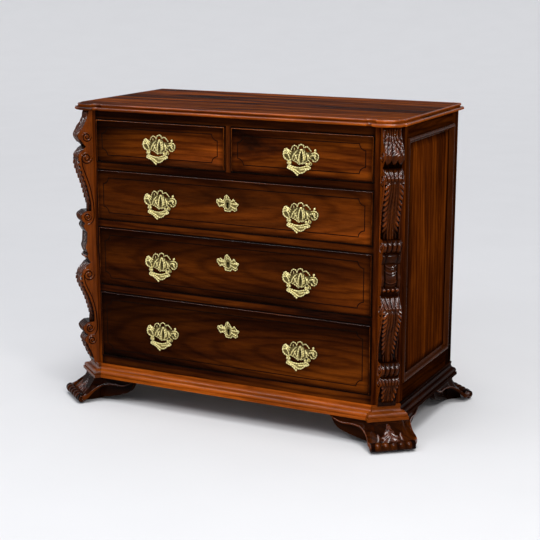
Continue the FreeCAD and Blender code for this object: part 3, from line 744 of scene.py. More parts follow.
def carve_small_roll(across, drop):
    """A boss in the middle with an ear at either side."""
    boss = math.sqrt(max(0.0, 1.0 - (across / 0.60) ** 2))
    ears = lobed((abs(across) - 0.62) / 0.38, 0.7) if abs(across) > 0.62 else 0.0
    swell = math.sin(math.pi * min(1.0, drop / member_height("small_roll"))) ** 0.5
    return swell * (4.0 * boss + 3.0 * ears - 2.0)


def carve_plain_field(across, drop):
    """Three plain scales that lap down the middle between two narrow borders."""
    away = abs(across)
    height = 3.4 * eased(0.68, 0.78, away) + 3.2 * (1.0 - eased(0.52, 0.62, away)) - 1.4
    for start in (2.0, 20.0, 50.0):
        off = drop - start - 9.0 * (1.0 - (across / 0.64) ** 2)
        if away < 0.64:
            height += 2.2 * math.exp(-(off / 1.7) ** 2) - 1.4 * math.exp(-((off - 4.0) / 2.2) ** 2)
    return height


def carve_bead_row(across, drop):
    """Four beads side by side."""
    height = 0.0
    for middle in BEAD_PLACES:
        off = math.hypot((across - middle) * BEAD_SCALE, drop - 8.0)
        height = max(height, math.sqrt(max(0.0, BEAD_SIZE ** 2 - off ** 2)))
    return height


def carve_lower_leaf(across, drop):
    """A curled top over a leaf that narrows to a tip."""
    share = clamped((drop - 40.0) / 150.0)
    leaf = hanging_leaf(across, share, 1.12, 0.66, 10.0)
    tip = eased(0.80, 1.0, share) * eased(0.20, 0.34, abs(across)) * 4.0
    return mixed(curled_top(across, drop, 40.0, 4), leaf - tip, eased(34.0, 50.0, drop))


def carve_foot_leaf(across, drop):
    """A curled top over a short leaf that fades out at its foot."""
    leaf = hanging_leaf(across, clamped((drop - 26.0) / 54.0), 0.95, 0.75, 3.0)
    fade = 1.0 - eased(78.0, 88.0, drop)
    return mixed(curled_top(across, drop, 28.0, 5), leaf * fade, eased(24.0, 36.0, drop))


TRUSS_CARVING = {
    "upper_leaf": carve_upper_leaf,
    "long_leaf": carve_long_leaf,
    "gadroon_roll": lambda across, drop: carve_roll(across, drop, member_height("gadroon_roll")),
    "small_roll": carve_small_roll,
    "plain_field": carve_plain_field,
    "bead_row": carve_bead_row,
    "lower_leaf": carve_lower_leaf,
    "lower_roll": lambda across, drop: carve_roll(across, drop, member_height("lower_roll")),
    "foot_leaf": carve_foot_leaf,
}

# Volutes on the sides of a truss, in millimetres: member, drop of the eye, its reach, and the outer radius
TRUSS_VOLUTES = (
    ("upper_leaf", 88.0, 15.0, 16.0),
    ("long_leaf", 36.0, 18.0, 20.0),
    ("gadroon_roll", 18.0, 20.0, 14.0),
    ("lower_leaf", 42.0, 22.0, 20.0),
    ("lower_roll", 20.0, 24.0, 15.0),
    ("foot_leaf", 20.0, 18.0, 15.0),
)
# Lines that run on from two of the volutes, down the side and under the next one: member, and drop and reach
TRUSS_SCROLLS = (
    ("long_leaf", (
        (36, 38), (63, 35), (94, 25), (131, 13), (179, 4), (212, 2), (236, 3), (251, 11), (256, 22))),
    ("lower_leaf", ((42, 42), (72, 38), (122, 17), (166, 6), (205, 3), (230, 3), (247, 11), (253, 24))),
)
# Radii of the raised lines and the dark ones, which paint the shade of grooves, and how far a dark line lies
# inside a raised one
VOLUTE_RADIUS = 2.3
VOLUTE_HOLLOW = 1.5
SCROLL_RADIUS = 2.0
SCROLL_HOLLOW = 1.6
SCROLL_GAP = 3.6
# Points of a spiral, and the share of its radius that it winds in
SPIRAL_STEPS = 44
SPIRAL_WIND = 0.82
# Mesh rows across the bottom of a truss and up its back
BOTTOM_ROWS = 4
BACK_ROWS = 24
# Heights in the carving, from 0 to 1: sides of a truss, its ledges and back, and a face without relief.
# Through the wax and painted shade they paint the ledges and back dark as shade and the sides lighter as
# painted light
SIDE_LEVEL = 0.92
LEDGE_LEVEL = 0.06
FACE_LEVEL = 0.22
# Relief that makes up a whole step of that height, in millimetres
RELIEF_SPAN = 8.5


def cant_middle():
    """The middle of the right-hand cant at floor level."""
    low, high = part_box("front_post_right")
    return Vector((high.x - CANT_FRONT_LEG / 2, low.y + CANT_SIDE_LEG / 2, 0))


def truss_stations(pitch):
    """The truss's outline down its face and up its back, as (reach, height, member, drop)."""
    low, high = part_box("corner_truss_right")
    level = high.z
    share = (high.z - low.z) / (sum(member_height(member) for member in TRUSS_PROFILE) * MM)
    stations = [(0.0, level, None, 0.0)]
    for name, points in TRUSS_PROFILE.items():
        line = through([(drop, reach, 0) for drop, reach in points])
        length = member_height(name)
        count = max(4, round(length * MM / pitch))
        start = Vector(stations[-1][:2])
        first = (TRUSS_BACKING + line[0].y) * MM
        ledge = round(abs(first - start.x) / pitch)
        for step in range(1, ledge):
            stations.append((mixed(start.x, first, step / ledge), start.y, None, 0.0))
        for step in range(count + 1):
            drop = length * step / count
            index = max(i for i, point in enumerate(line) if point.x <= drop + 1e-6)
            before, after = line[index], line[min(index + 1, len(line) - 1)]
            gap = after.x - before.x
            reach = mixed(before.y, after.y, (drop - before.x) / gap) if gap > 0 else before.y
            stations.append(((TRUSS_BACKING + reach) * MM, level - drop * MM * share, name, drop))
        level -= length * MM * share
    foot = stations[-1]
    for step in range(1, BOTTOM_ROWS + 1):
        stations.append((foot[0] * (1 - step / BOTTOM_ROWS), foot[1], None, 0.0))
    for step in range(1, BACK_ROWS):
        stations.append((0.0, mixed(foot[1], high.z, step / BACK_ROWS), None, 0.0))
    return stations


def spiral(eye, radius, thick, turns=1.6, start=0.0):
    """A scroll line that winds in to its eye, in an upright plane square to the cant."""
    stroke = []
    for step in range(SPIRAL_STEPS + 1):
        share = step / SPIRAL_STEPS
        reach = radius * (1.0 - SPIRAL_WIND * share) * MM
        angle = start + 2 * math.pi * turns * share
        point = eye + OUTWARD * reach * math.cos(angle) + UP * reach * math.sin(angle)
        stroke.append((*point, mixed(0.6, 1.0, eased(0.0, 0.2, share)) * thick * MM))
    return stroke


def truss_volutes(middle, width):
    """The raised scrolls on both sides of a truss, and the dark lines beside them that paint the shade of
    grooves.
    """
    starts = {}
    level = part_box("corner_truss_right")[1].z
    for member in TRUSS_PROFILE:
        starts[member] = level
        level -= member_height(member) * MM

    def spot(side, member, drop, reach):
        point = middle + OUTWARD * (TRUSS_BACKING + reach) * MM + ALONG * side * width / 2
        point.z = starts[member] - drop * MM
        return point

    strokes = []
    painted_groove_shadows = []
    for side in (-1, 1):
        for member, drop, reach, radius in TRUSS_VOLUTES:
            eye = spot(side, member, drop, reach)
            strokes.append(spiral(eye, radius, VOLUTE_RADIUS))
            painted_groove_shadows.append(spiral(eye, radius, VOLUTE_HOLLOW, start=math.pi))
        for member, points in TRUSS_SCROLLS:
            line = through([(drop, reach, 0) for drop, reach in points])
            for inset, thick, kept in ((0.0, SCROLL_RADIUS, strokes), (SCROLL_GAP, SCROLL_HOLLOW, painted_groove_shadows)):
                places = [spot(side, member, drop, reach - inset) for drop, reach, _ in line]
                kept.append([(*place, thick * MM) for place in places])
    return strokes, painted_groove_shadows


def truss_mesh(settings):
    """The right-hand truss, with its carving and the volutes on its sides."""
    middle = cant_middle() + ALONG * settings.truss_shift
    width = settings.truss_width

    def place(across, station):
        reach, height, member, drop = station
        relief = 0.0
        side = 2.0 * across - 1.0
        if member:
            fade = 1.0 - eased(0.94, 1.0, abs(side)) * 0.6
            relief = TRUSS_CARVING[member](side, drop) * fade * settings.relief
            reach = max(0.0, reach + relief * MM)
        point = middle + OUTWARD * reach + ALONG * (across - 0.5) * width
        point.z = height
        if abs(side) > 0.999:
            return point, SIDE_LEVEL
        return point, clamped(FACE_LEVEL + relief / RELIEF_SPAN) if member else LEDGE_LEVEL

    body = wrapped_solid(settings.truss_columns, truss_stations(settings.pitch), place)
    strokes, painted_groove_shadows = truss_volutes(middle, width)
    volutes = joined([tube_mesh(strokes)], "volutes", 0.95)
    # The raised lines sit high on the carving scale and come out lighter; the dark tubes sit at nought and
    # paint the shade of grooves
    lines = joined([tube_mesh(painted_groove_shadows)], "lines", 0.0)
    return joined([new_mesh("truss", body), volutes, lines], "truss")


class CHEST_OT_carve_trusses(bpy.types.Operator):
    """Carve the two scrolled trusses on the canted corners"""
    bl_idname = "chest.carve_trusses"
    bl_label = "Carve Trusses"

    def execute(self, context):
        wood = rosewood("carved_rosewood", "z", (0.3, 0.1, 0.7), tone=1.7, glow=0.7, shine=0.04, crown=1.0,
                        calm=0.6, carved=(0.25, 0.70), rough=0.45)
        right = truss_mesh(context.scene.chest_carving)
        left = moved(right, Matrix.Scale(-1, 4, (1, 0, 0)), "truss_left")
        keep(right, "carved_truss_right", "case", ["corner_truss_right"], wood)
        keep(left, "carved_truss_left", "case", ["corner_truss_left"], wood)
        return {"FINISHED"}


# Feet, in millimetres
FOOT_HEIGHT = 82.0
WING_LENGTH = 138.0
WING_FACE = 18.0
WING_REST = 10.0
WING_THICKNESS = 20.0
# Lower edge of a wing: away from its tip, and height
WING_EDGE = ((0, 79), (6, 64), (14, 50), (26, 38), (44, 30), (74, 21), (116, 11), (140, 7))
# From a wing's tip to the toe: how far the roll's centre lies from the wing's root, back along the wing, how
# far out of the wing's face, its height, and the roll's radius
FOOT_ROLL = ((136, -1, 79, 1.6), (118, 0, 69, 2.4), (95, 1, 62, 3.0), (57, 4, 63, 3.2), (25, 13, 58, 3.8),
             (2, 30, 42, 5.0), (-12, 48, 24, 7.5))
# Where a wing's face starts to turn towards the toe, over what run, and how far of the way
TURN_START = 40.0
TURN_RUN = 52.0
TURN_SHARE = 0.8
# Where the heads of the stations start to gather, how closely, and how far they stand back of the face
HEAD_START = 30.0
HEAD_SHARE = 0.35
HEAD_SET_BACK = 2.0
TOE_ROLL_RADIUS = 12.5
TOE_ROLL_HEIGHT = 19.0
ROLL_START = math.radians(165)
TOE_REACH = 78.0
TOE_BOW = 3.0
TOE_INSET = 5.0
TOE_NECK_REACH = 25.0
TOE_NECK_HALF = 46.0
TOE_SOLE_HALF = 38.0
TOE_STATIONS = (-1.0, -0.5, 0.0, 0.5, 1.0)
TOE_LOBES = 5.0
FOOT_BACK = 38.0
# Discs at the ends of the toe's roll: start from the middle, how far they pass the toe, and their lip
DISC_START = 52.0
DISC_OVERHANG = 4.0
DISC_LIP = 1.5
# Volutes on the discs: outer radius, thickness of the line, and turns
TOE_VOLUTE_RADIUS = 11.9
TOE_VOLUTE_THICKNESS = 1.5
TOE_VOLUTE_TURNS = 1.5
# How late the face flares and how far it hollows, and the depth of its back at the foot and at the head
FLARE = 1.9
HOLLOW = 2.5
BACK_FOOT = 10.0
BACK_HEAD = 34.0
# Steps along the foot between stations, and mesh rows of its face, its roll and the plain parts
FOOT_STEPS = 12
FACE_ROWS = 34
ROLL_ROWS = 26
REST_ROWS = 8
REST_COLUMNS = 40
# Height in the carving at which the plain parts of a foot count; it paints them dark, as shade behind the
# carved face
REST_LEVEL = 0.36


def wing_roots():
    """Where the faces of the front wing and the side wing start beside the cant."""
    low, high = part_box("front_post_right")
    front_root = Vector((high.x - CANT_FRONT_LEG, low.y, 0)) / MM + Vector((0, -WING_FACE, 0))
    side_root = Vector((high.x, low.y + CANT_SIDE_LEG, 0)) / MM + Vector((WING_FACE, 0, 0))
    return front_root, side_root


def foot_stations(settings):
    """Top point, roll centre, radius and outward direction at each station, from wing tip to wing tip."""
    middle = cant_middle() / MM
    half = settings.foot_width / MM / 2
    front_root, side_root = wing_roots()
    top = UP * FOOT_HEIGHT
    stations = []

    def wing(root, back, out):
        made = []
        for away, reach, height, radius in FOOT_ROLL:
            turn = clamped((TURN_START - away) / TURN_RUN) * TURN_SHARE
            facing = out.lerp(OUTWARD, turn).normalized()
            gathered = max(away, HEAD_START + HEAD_SHARE * (away - HEAD_START))
            head = root + back * gathered - out * HEAD_SET_BACK + top
            made.append((head, root + back * away + out * reach + UP * height, radius, facing))
        return made

    def toe(share):
        across = ALONG * share
        head = middle + OUTWARD * TOE_NECK_REACH + across * TOE_NECK_HALF + top
        reach = TOE_REACH + TOE_BOW * (1.0 - share * share)
        roll = middle + OUTWARD * reach + across * (half - TOE_INSET) + UP * TOE_ROLL_HEIGHT
        return head, roll, TOE_ROLL_RADIUS, OUTWARD

    stations += wing(front_root, Vector((-1, 0, 0)), Vector((0, -1, 0)))
    stations += [toe(share) for share in TOE_STATIONS]
    stations += reversed(wing(side_root, Vector((0, 1, 0)), Vector((1, 0, 0))))
    return stations


def carve_foot(across, fall):
    """A leaf that fans out down the toe's face between two curled ones. across is -1 to 1 over the toe."""
    away = abs(across)
    half = 0.12 + 0.40 * eased(0.1, 0.9, fall)
    part = (fall * 5.0) % 1.0
    edge = half * (0.78 + 0.22 * eased(0.0, 0.8, part))
    inside = (1.0 - eased(edge - 0.06, edge + 0.02, away)) * eased(0.16, 0.24, fall)
    veins = lobed(fall * 5.0 - 1.1 * away / half, 0.5)
    leaf = inside * (1.6 + 3.2 * veins + 2.4 * math.exp(-(away / 0.05) ** 2))
    curl = math.exp(-((away - 0.74 - 0.10 * math.sin(fall * 6.0)) / 0.07) ** 2) * eased(0.35, 0.6, fall)
    return leaf + 2.6 * curl


def foot_front(settings):
    """The foot's face: it hangs from the base, hollows, flares and ends in a roll from tip to tip."""
    stations = foot_stations(settings)
    heads = through([head for head, roll, radius, facing in stations], FOOT_STEPS)
    rolls = through([roll for head, roll, radius, facing in stations], FOOT_STEPS)
    radii = through([(radius, 0, 0) for head, roll, radius, facing in stations], FOOT_STEPS)
    facings = through([facing for head, roll, radius, facing in stations], FOOT_STEPS)
    last = len(heads) - 1
    first_toe = len(FOOT_ROLL) * FOOT_STEPS
    toe_span = (len(TOE_STATIONS) - 1) * FOOT_STEPS
    loop = [("face", row / FACE_ROWS) for row in range(FACE_ROWS)]
    loop += [("roll", row / ROLL_ROWS) for row in range(ROLL_ROWS + 1)]
    loop += [("back", share) for share in (0.0, 0.5, 1.0)]

    def place(across, station):
        kind, share = station
        spot = across * last
        index = min(int(spot), last - 1)
        part = spot - index

        def at(values):
            return values[index].lerp(values[index + 1], part)

        head = at(heads)
        roll = at(rolls)
        radius = at(radii).x
        facing = at(facings).normalized()
        toe = 2.0 * (spot - first_toe) / toe_span - 1.0
        on_toe = eased(-1.12, -0.92, toe) * (1.0 - eased(0.92, 1.12, toe))
        relief = 0.0
        if kind == "face":
            foot = roll + (facing * math.cos(ROLL_START) + UP * math.sin(ROLL_START)) * radius
            point = head.lerp(foot, share ** FLARE)
            point.z = mixed(head.z, foot.z, share)
            hollow = facing * (-HOLLOW * math.sin(math.pi * share))
            relief = carve_foot(toe, share) * on_toe * settings.relief * (1.0 - eased(0.86, 0.98, share))
            point += hollow + (facing + UP * 0.6 * share).normalized() * relief
        elif kind == "roll":
            angle = mixed(ROLL_START, -math.pi / 2, share)
            lobe = on_toe * (5.0 * fluted(toe, TOE_LOBES, 0.5) - 3.0)
            relief = lobe * math.sin(math.pi * min(1.0, share * 1.15)) if share < 0.87 else 0.0
            point = roll + (facing * math.cos(angle) + UP * math.sin(angle)) * (radius + relief)
        else:
            deep = mixed(BACK_FOOT, BACK_HEAD + FOOT_BACK * on_toe, share)
            point = (roll - UP * radius).lerp(head - facing * deep, share)
        point.z = max(0.0, point.z)
        # The wings' bead sits high on the carving scale so that it comes out lighter than the toe's roll: a
        # painted highlight
        plain = 0.95 - 0.42 * on_toe if kind == "roll" else 0.60
        return point * MM, clamped(plain + relief / 8.0)

    return new_mesh("foot_front", wrapped_solid(settings.foot_columns, loop, place))


def foot_rest(root, back, inward):
    """The plain part of a wing, set back behind the carved face, down to its outline."""
    edge = through([(away, height, 0) for away, height in WING_EDGE])
    falls = [step / REST_ROWS for step in range(REST_ROWS + 1)]
    ring = [(0.0, fall) for fall in falls] + [(1.0, fall) for fall in reversed(falls)]

    def low_at(away):
        for before, after in zip(edge, edge[1:]):
            if before.x <= away <= after.x:
                return mixed(before.y, after.y, (away - before.x) / max(1e-9, after.x - before.x))
        return edge[-1].y

    def place(across, station):
        depth, fall = station
        away = across * WING_LENGTH
        height = mixed(FOOT_HEIGHT, low_at(away), fall)
        point = root + back * (WING_LENGTH - away) + inward * (WING_REST + depth * WING_THICKNESS)
        return (point + UP * height) * MM, REST_LEVEL

    return new_mesh("foot_rest", wrapped_solid(REST_COLUMNS, ring, place))


def foot_core():
    """The block behind the toe's face, down to the sole."""
    middle = cant_middle() / MM
    outline = (
        (TOE_NECK_REACH - 6.0, FOOT_HEIGHT), (TOE_REACH - 18.0, TOE_ROLL_HEIGHT), (TOE_REACH - 10.0, 0.0),
        (0.0, 0.0), (-FOOT_BACK, FOOT_HEIGHT / 2), (-FOOT_BACK, FOOT_HEIGHT))

    def place(across, station):
        reach, height = station
        half = mixed(TOE_SOLE_HALF, TOE_NECK_HALF, height / FOOT_HEIGHT)
        point = middle + OUTWARD * reach + ALONG * (2.0 * across - 1.0) * half + UP * height
        return point * MM, REST_LEVEL

    return new_mesh("foot_core", wrapped_solid(6, outline, place))


def foot_mesh(settings):
    """The right-hand front foot: carved face, plain wings behind it, core, and volutes on its ends."""
    front_root, side_root = wing_roots()
    eye = cant_middle() + (OUTWARD * TOE_REACH + UP * TOE_ROLL_HEIGHT) * MM
    strokes = []
    discs = []
    for side in (-1, 1):
        end = eye + ALONG * side * (settings.foot_width / 2 + DISC_OVERHANG * MM)
        start = eye + ALONG * side * DISC_START * MM
        discs.append(rod_mesh(start, end, (TOE_ROLL_RADIUS + DISC_LIP) * MM))
        strokes.append(spiral(end, TOE_VOLUTE_RADIUS, TOE_VOLUTE_THICKNESS, TOE_VOLUTE_TURNS, math.pi))
    meshes = [
        foot_front(settings),
        foot_rest(front_root, Vector((-1, 0, 0)), Vector((0, 1, 0))),
        foot_rest(side_root, Vector((0, 1, 0)), Vector((-1, 0, 0))),
        foot_core(),
        joined(discs, "discs", 0.10),
        joined([tube_mesh(strokes)], "volutes", 0.95),
    ]
    return joined(meshes, "foot", 0.4)


class CHEST_OT_carve_feet(bpy.types.Operator):
    """Carve the four diagonal scroll feet"""
    bl_idname = "chest.carve_feet"
    bl_label = "Carve Feet"

    def execute(self, context):
        first = foot_mesh(context.scene.chest_carving)
        # The rear feet take a darker copy of the front feet's wood: painted shade
        for end, depth, tone in (("front", 1, 1.7), ("rear", -1, 0.75)):
            wood = rosewood("rosewood_foot_" + end, "x", (0.8, 0.5, 0.2), tone=tone, glow=0.6, shine=0.02,
                            crown=0.8, carved=(0.70, 0.94), rough=0.6)
            for side, across in (("right", 1), ("left", -1)):
                name = end + "_" + side
                mesh = moved(first, Matrix.Diagonal((across, depth, 1, 1)), "foot_" + name)
                keep(mesh, "scroll_foot_" + name, "case", ["foot_" + name], wood)
        bpy.data.meshes.remove(first)
        return {"FINISHED"}


# Brass patterns, in millimetres from the middle of a handle's posts or from a keyhole. Webs are flat
# outlines, holes have their web, centre and radius, and strokes go across, up and out with a radius
PLATE_WEBS = (
    ((-29, 8), (-26, 33), (-14, 40), (-4, 41), (14, 43), (22, 35), (36, 33), (38, 13), (30, 9), (20, 3),
     (11, -2), (5, 0), (-1, -4), (-9, 1), (-20, 5)),
    ((-28, 10), (-45, 8), (-52, 17), (-53, 27), (-50, 36), (-44, 42), (-37, 39), (-26, 33)),
    ((34, 32), (46, 33), (57, 31), (60, 24), (56, 13), (50, 9), (44, 11), (36, 12)),
)
PLATE_HOLES = (
    (2, (44, 17), 3.0), (0, (5.5, 11), 2.0), (0, (5.7, 17), 2.6), (0, (5.7, 24), 2.6), (0, (5.8, 30), 2.0))
PLATE_STROKES = (
    # Cupped leaf on the left: its rim, the curl inside it and three ribs
    ((-30, 4, 2, 2.6), (-42, 7, 2, 2.8), (-51, 14, 3, 3.2), (-54, 24, 3, 3.2), (-52, 33, 3, 3.2),
     (-46, 41, 3, 3.4), (-38, 38, 2, 2.8), (-28, 31, 2, 2.4)),
    ((-52, 25, 3, 2.6), (-45, 28, 4, 2.8), (-38, 25, 4, 2.8), (-34, 16, 3, 2.6), (-33, 6, 2, 2.2)),
    ((-45, 40, 3, 2.4), (-37, 33, 4, 2.6), (-30, 24, 3, 2.2)),
    ((-50, 35, 3, 2.2), (-42, 32, 3, 2.2), (-34, 27, 2, 1.8)),
    # Three loops along the top
    ((-29, 37, 2, 2.2), (-24, 48, 2, 2.4), (-17, 52, 2, 2.6), (-10, 49, 2, 2.4), (-6, 42, 2, 2.2)),
    ((-18, 38, 2, 2.0), (-18, 46, 2, 2.0)),
    ((-6, 43, 2, 2.2), (-3, 52, 2, 2.5), (4, 56, 2, 2.8), (11, 54, 2, 2.6), (14, 46, 2, 2.2)),
    ((16, 46, 2, 2.2), (20, 50, 2, 2.5), (25, 50, 2, 2.6), (31, 45, 2, 2.4), (38, 37, 2, 2.2)),
    # Bud and scrolled lobe on the right
    ((46, 30, 2, 2.6), (49, 36, 2, 3.2), (51, 41, 2, 5.0), (52, 45, 2, 4.0)),
    ((38, 31, 2, 2.2), (50, 34, 3, 2.6), (59, 30, 2, 2.6), (62, 22, 2, 2.6), (57, 11, 2, 2.6),
     (49, 7, 2, 2.4), (43, 10, 3, 2.2), (42, 15, 3, 1.8)),
    ((34, 22, 2, 2.4), (45, 26, 4, 3.2), (55, 22, 3, 2.8)),
    ((52, 30, 3, 2.4), (49, 22, 4, 2.8), (54, 14, 3, 2.4)),
    ((36, 14, 2, 2.0), (30, 20, 2, 2.4), (28, 28, 2, 2.0)),
    # Leaves at both sides of the middle
    ((-26, 9, 2, 2.2), (-22, 20, 3, 3.0), (-15, 30, 3, 2.8), (-7, 38, 2, 2.0)),
    ((-18, 7, 2, 2.2), (-13, 18, 3, 2.8), (-8, 27, 2, 2.2)),
    ((-22, 28, 2, 2.0), (-14, 22, 3, 2.6), (-9, 12, 3, 2.4), (-4, 2, 2, 1.8)),
    # Two ribs beside the slit in the middle
    ((-1, -2, 2, 2.4), (-2, 12, 4, 3.2), (0, 26, 4, 3.2), (5, 43, 3, 2.4)),
    ((9, -2, 2, 2.2), (13, 12, 4, 2.8), (12, 26, 4, 2.8), (7, 43, 3, 2.2)),
    ((17, 8, 2, 2.2), (18, 20, 3, 2.8), (15, 33, 2, 2.2), (13, 40, 2, 1.8)),
    ((27, 10, 2, 2.2), (27, 20, 3, 3.0), (22, 31, 2, 2.2)),
    # Lower edge, from post to post
    ((-35, 0, 2, 2.4), (-30, 8, 2, 2.2), (-20, 6, 2, 2.2), (-9, 1, 2, 2.2), (-2, -4, 2, 2.4),
     (5, 0, 2, 2.2)),
    ((5, 0, 2, 2.2), (11, -2, 2, 2.4), (20, 4, 2, 2.2), (30, 9, 2, 2.2), (35, 0, 2, 2.4)),
)
BAIL_WEB = (
    (-37, -12), (-20, -10), (0, -11), (20, -12), (38, -11), (30, -18), (18, -24), (10, -30), (4, -28),
    (-2, -36), (-13, -28), (-27, -20),
)
BAIL_STROKES = (
    ((-28, -2, 0, 2.6), (-33, -7, 0, 2.6), (-37, -12, 0, 2.8)),
    ((28, -2, 0, 2.6), (33, -6, 0, 2.6), (38, -11, 0, 2.8)),
    ((-37, -10, 0, 2.8), (-29, -8, 1, 2.8), (-20, -10, 1, 2.6), (-8, -13, 1, 2.6), (4, -13, 1, 2.6),
     (16, -10, 1, 2.6), (28, -7, 1, 2.8), (38, -9, 0, 2.8)),
    ((-38, -12, 0, 2.8), (-34, -17, 1, 3.0), (-24, -20, 1, 3.0), (-14, -26, 1, 3.0), (-8, -32, 1, 2.8),
     (-2, -37, 0, 3.0)),
    ((-33, -12, 1, 2.4), (-22, -15, 2, 3.0), (-10, -21, 2, 3.0), (0, -28, 1, 2.4), (7, -30, 1, 2.2)),
    ((40, -10, 0, 2.8), (35, -15, 1, 3.0), (26, -18, 1, 2.8), (18, -25, 1, 2.8), (8, -30, 1, 2.8)),
    ((33, -12, 1, 2.4), (22, -15, 2, 2.8), (12, -18, 2, 2.6), (2, -18, 1, 2.2)),
)
KEY_WEB = (
    (-3, 28), (4, 21), (14, 9), (21, 15), (28, 6), (38, 0), (31, -8), (33, -16), (25, -21), (15, -16),
    (10, -23), (-9, -22), (-10, -15), (-18, -8), (-28, -10), (-33, -3), (-38, 4), (-36, 12), (-31, 10),
    (-25, 15), (-17, 9), (-11, 14), (-9, 22),
)
KEY_STROKES = (
    # The rim, ribs out to the points of the leaves, and the ring round the keyhole
    tuple((across, up, 2, 2.1) for across, up in KEY_WEB + KEY_WEB[:1]),
    ((-5, 15, 2, 2.2), (-3, 21, 3, 2.6), (-3, 26, 2, 2.0)),
    ((11, 6, 2, 2.0), (16, 9, 3, 2.6), (21, 12, 2, 2.0)),
    ((11, 1, 2, 2.2), (23, 1, 3, 3.2), (35, 0, 2, 2.2)),
    ((10, -6, 2, 2.2), (20, -10, 3, 3.0), (29, -15, 2, 2.2)),
    ((-11, 8, 2, 2.0), (-18, 9, 3, 2.6), (-25, 12, 2, 2.0)),
    ((-11, 3, 2, 2.2), (-24, 5, 3, 3.2), (-35, 7, 2, 2.2)),
    ((-10, -4, 2, 2.2), (-19, -5, 3, 2.8), (-28, -7, 2, 2.2)),
    ((-8, 10, 2, 1.8), (-10, 0, 2, 2.0), (-7, -12, 2, 1.8), (0, -17, 2, 1.8), (8, -12, 2, 1.8),
     (10, 0, 2, 2.0), (8, 10, 2, 1.8), (0, 15, 2, 1.8), (-8, 10, 2, 1.8)),
)
KEYHOLE_RADIUS = 4.0
KEYHOLE_SLOT = 4.0
KEYHOLE_FALL = 13.0
KEYHOLE_STEPS = 20
WEB_THICKNESS = 1.6
# Strokes: share of the drawn radius that is cast, steps in a span, and spacing and depth of the notches
STROKE_SHARE = 0.9
STROKE_STEPS = 16
NOTCH_PITCH = 7.6
NOTCH_DEPTH = 0.62
# Round parts of the handles: collars of the plates, shanks and nuts of the posts, pins, and barrels of bails
COLLAR_LENGTH = 4.0
COLLAR_RADIUS = 6.2
SHANK_LENGTH = 5.0
SHANK_RADIUS = 2.5
NUT_LENGTH = 4.0
NUT_RADIUS = 5.8
NUT_SIDES = 6
PIN_LENGTH = 11.7
PIN_RADIUS = 1.8
BARREL_START = 23.9
BARREL_END = 29.9
BARREL_RADIUS = 4.2
# Heights on a casting at which it is dull and at which it is rubbed bright, in metres
PLATE_RELIEF = (0.0008, 0.0050)
BAIL_RELIEF = (-0.0006, 0.0034)
KEY_RELIEF = (0.0006, 0.0046)


def smooth_ring(points, steps=5):
    """A closed outline through the given points, in metres."""
    count = len(points)
    ring = []
    for index in range(count):
        span = [Vector((*points[(index + offset) % count], 0)) for offset in (-1, 0, 1, 2)]
        for step in range(steps):
            point = bent(*span, step / steps)
            ring.append((point.x * MM, point.y * MM))
    return ring


def round_ring(centre, radius, steps=18):
    return [((centre[0] + radius * math.cos(2 * math.pi * step / steps)) * MM,
             (centre[1] + radius * math.sin(2 * math.pi * step / steps)) * MM) for step in range(steps)]


def keyhole_ring():
    """The outline of a keyhole about the middle of its round part."""
    half = KEYHOLE_SLOT / 2
    start = math.asin(half / KEYHOLE_RADIUS) - math.pi / 2
    ring = [(half * MM, -KEYHOLE_FALL * MM)]
    sweep = 2 * math.pi - 2 * math.asin(half / KEYHOLE_RADIUS)
    for step in range(KEYHOLE_STEPS + 1):
        angle = start + sweep * step / KEYHOLE_STEPS
        ring.append((KEYHOLE_RADIUS * math.cos(angle) * MM, KEYHOLE_RADIUS * math.sin(angle) * MM))
    ring.append((-half * MM, -KEYHOLE_FALL * MM))
    return ring


def brass_strokes(strokes):
    """Tubes along drawn strokes, notched like the edge of a leaf. Out counts forward from a plate's back."""
    made = []
    for stroke in strokes:
        path = through([(x, -out, z) for x, z, out, radius in stroke], STROKE_STEPS)
        radii = through([(radius, 0, 0) for x, z, out, radius in stroke], STROKE_STEPS)
        run = 0.0
        tube = []
        for index, (place, radius) in enumerate(zip(path, radii)):
            run += (place - path[max(index - 1, 0)]).length
            full = 1.0 - NOTCH_DEPTH * (1.0 - lobed(run / NOTCH_PITCH, 0.7))
            tube.append((*(place * MM), radius.x * STROKE_SHARE * full * MM))
        made.append(tube)
    return tube_mesh(made, 8)


def plate_casting(settings):
    """One handle plate, fused, about the middle of its posts and with its back on Y = 0."""
    meshes = []
    for index, web in enumerate(PLATE_WEBS):
        cut = [round_ring(centre, radius) for place, centre, radius in PLATE_HOLES if place == index]
        meshes.append(sheet_mesh(smooth_ring(web), cut, WEB_THICKNESS * MM))
    meshes.append(brass_strokes(PLATE_STROKES))
    for side in (-1, 1):
        at = side * settings.post_pitch / 2
        meshes.append(rod_mesh((at, 0, 0), (at, -COLLAR_LENGTH * MM, 0), COLLAR_RADIUS * MM))
    return fused(meshes, settings.grain, "plate_casting")


def flattened(mesh):
    """Cuts the round backs of the strokes off flush with the back of the plate."""
    bm = bmesh.new()
    bm.from_mesh(mesh)
    geometry = bm.verts[:] + bm.edges[:] + bm.faces[:]
    cut = bmesh.ops.bisect_plane(
        bm, geom=geometry, plane_co=(0, 0, 0), plane_no=(0, 1, 0), clear_outer=True)
    rims = [item for item in cut["geom_cut"] if isinstance(item, bmesh.types.BMEdge)]
    bmesh.ops.holes_fill(bm, edges=rims, sides=0)
    bm.to_mesh(mesh)
    bm.free()
    return mesh


def handle_hinges():
    """Each bail's body, its drawer's body and the middle of its pins, from the frame's joints."""
    for joint in frame["joints"]:
        if joint["type"] == "hinge":
            yield joint["child"], joint["parent"], Vector(joint["pos_m"])


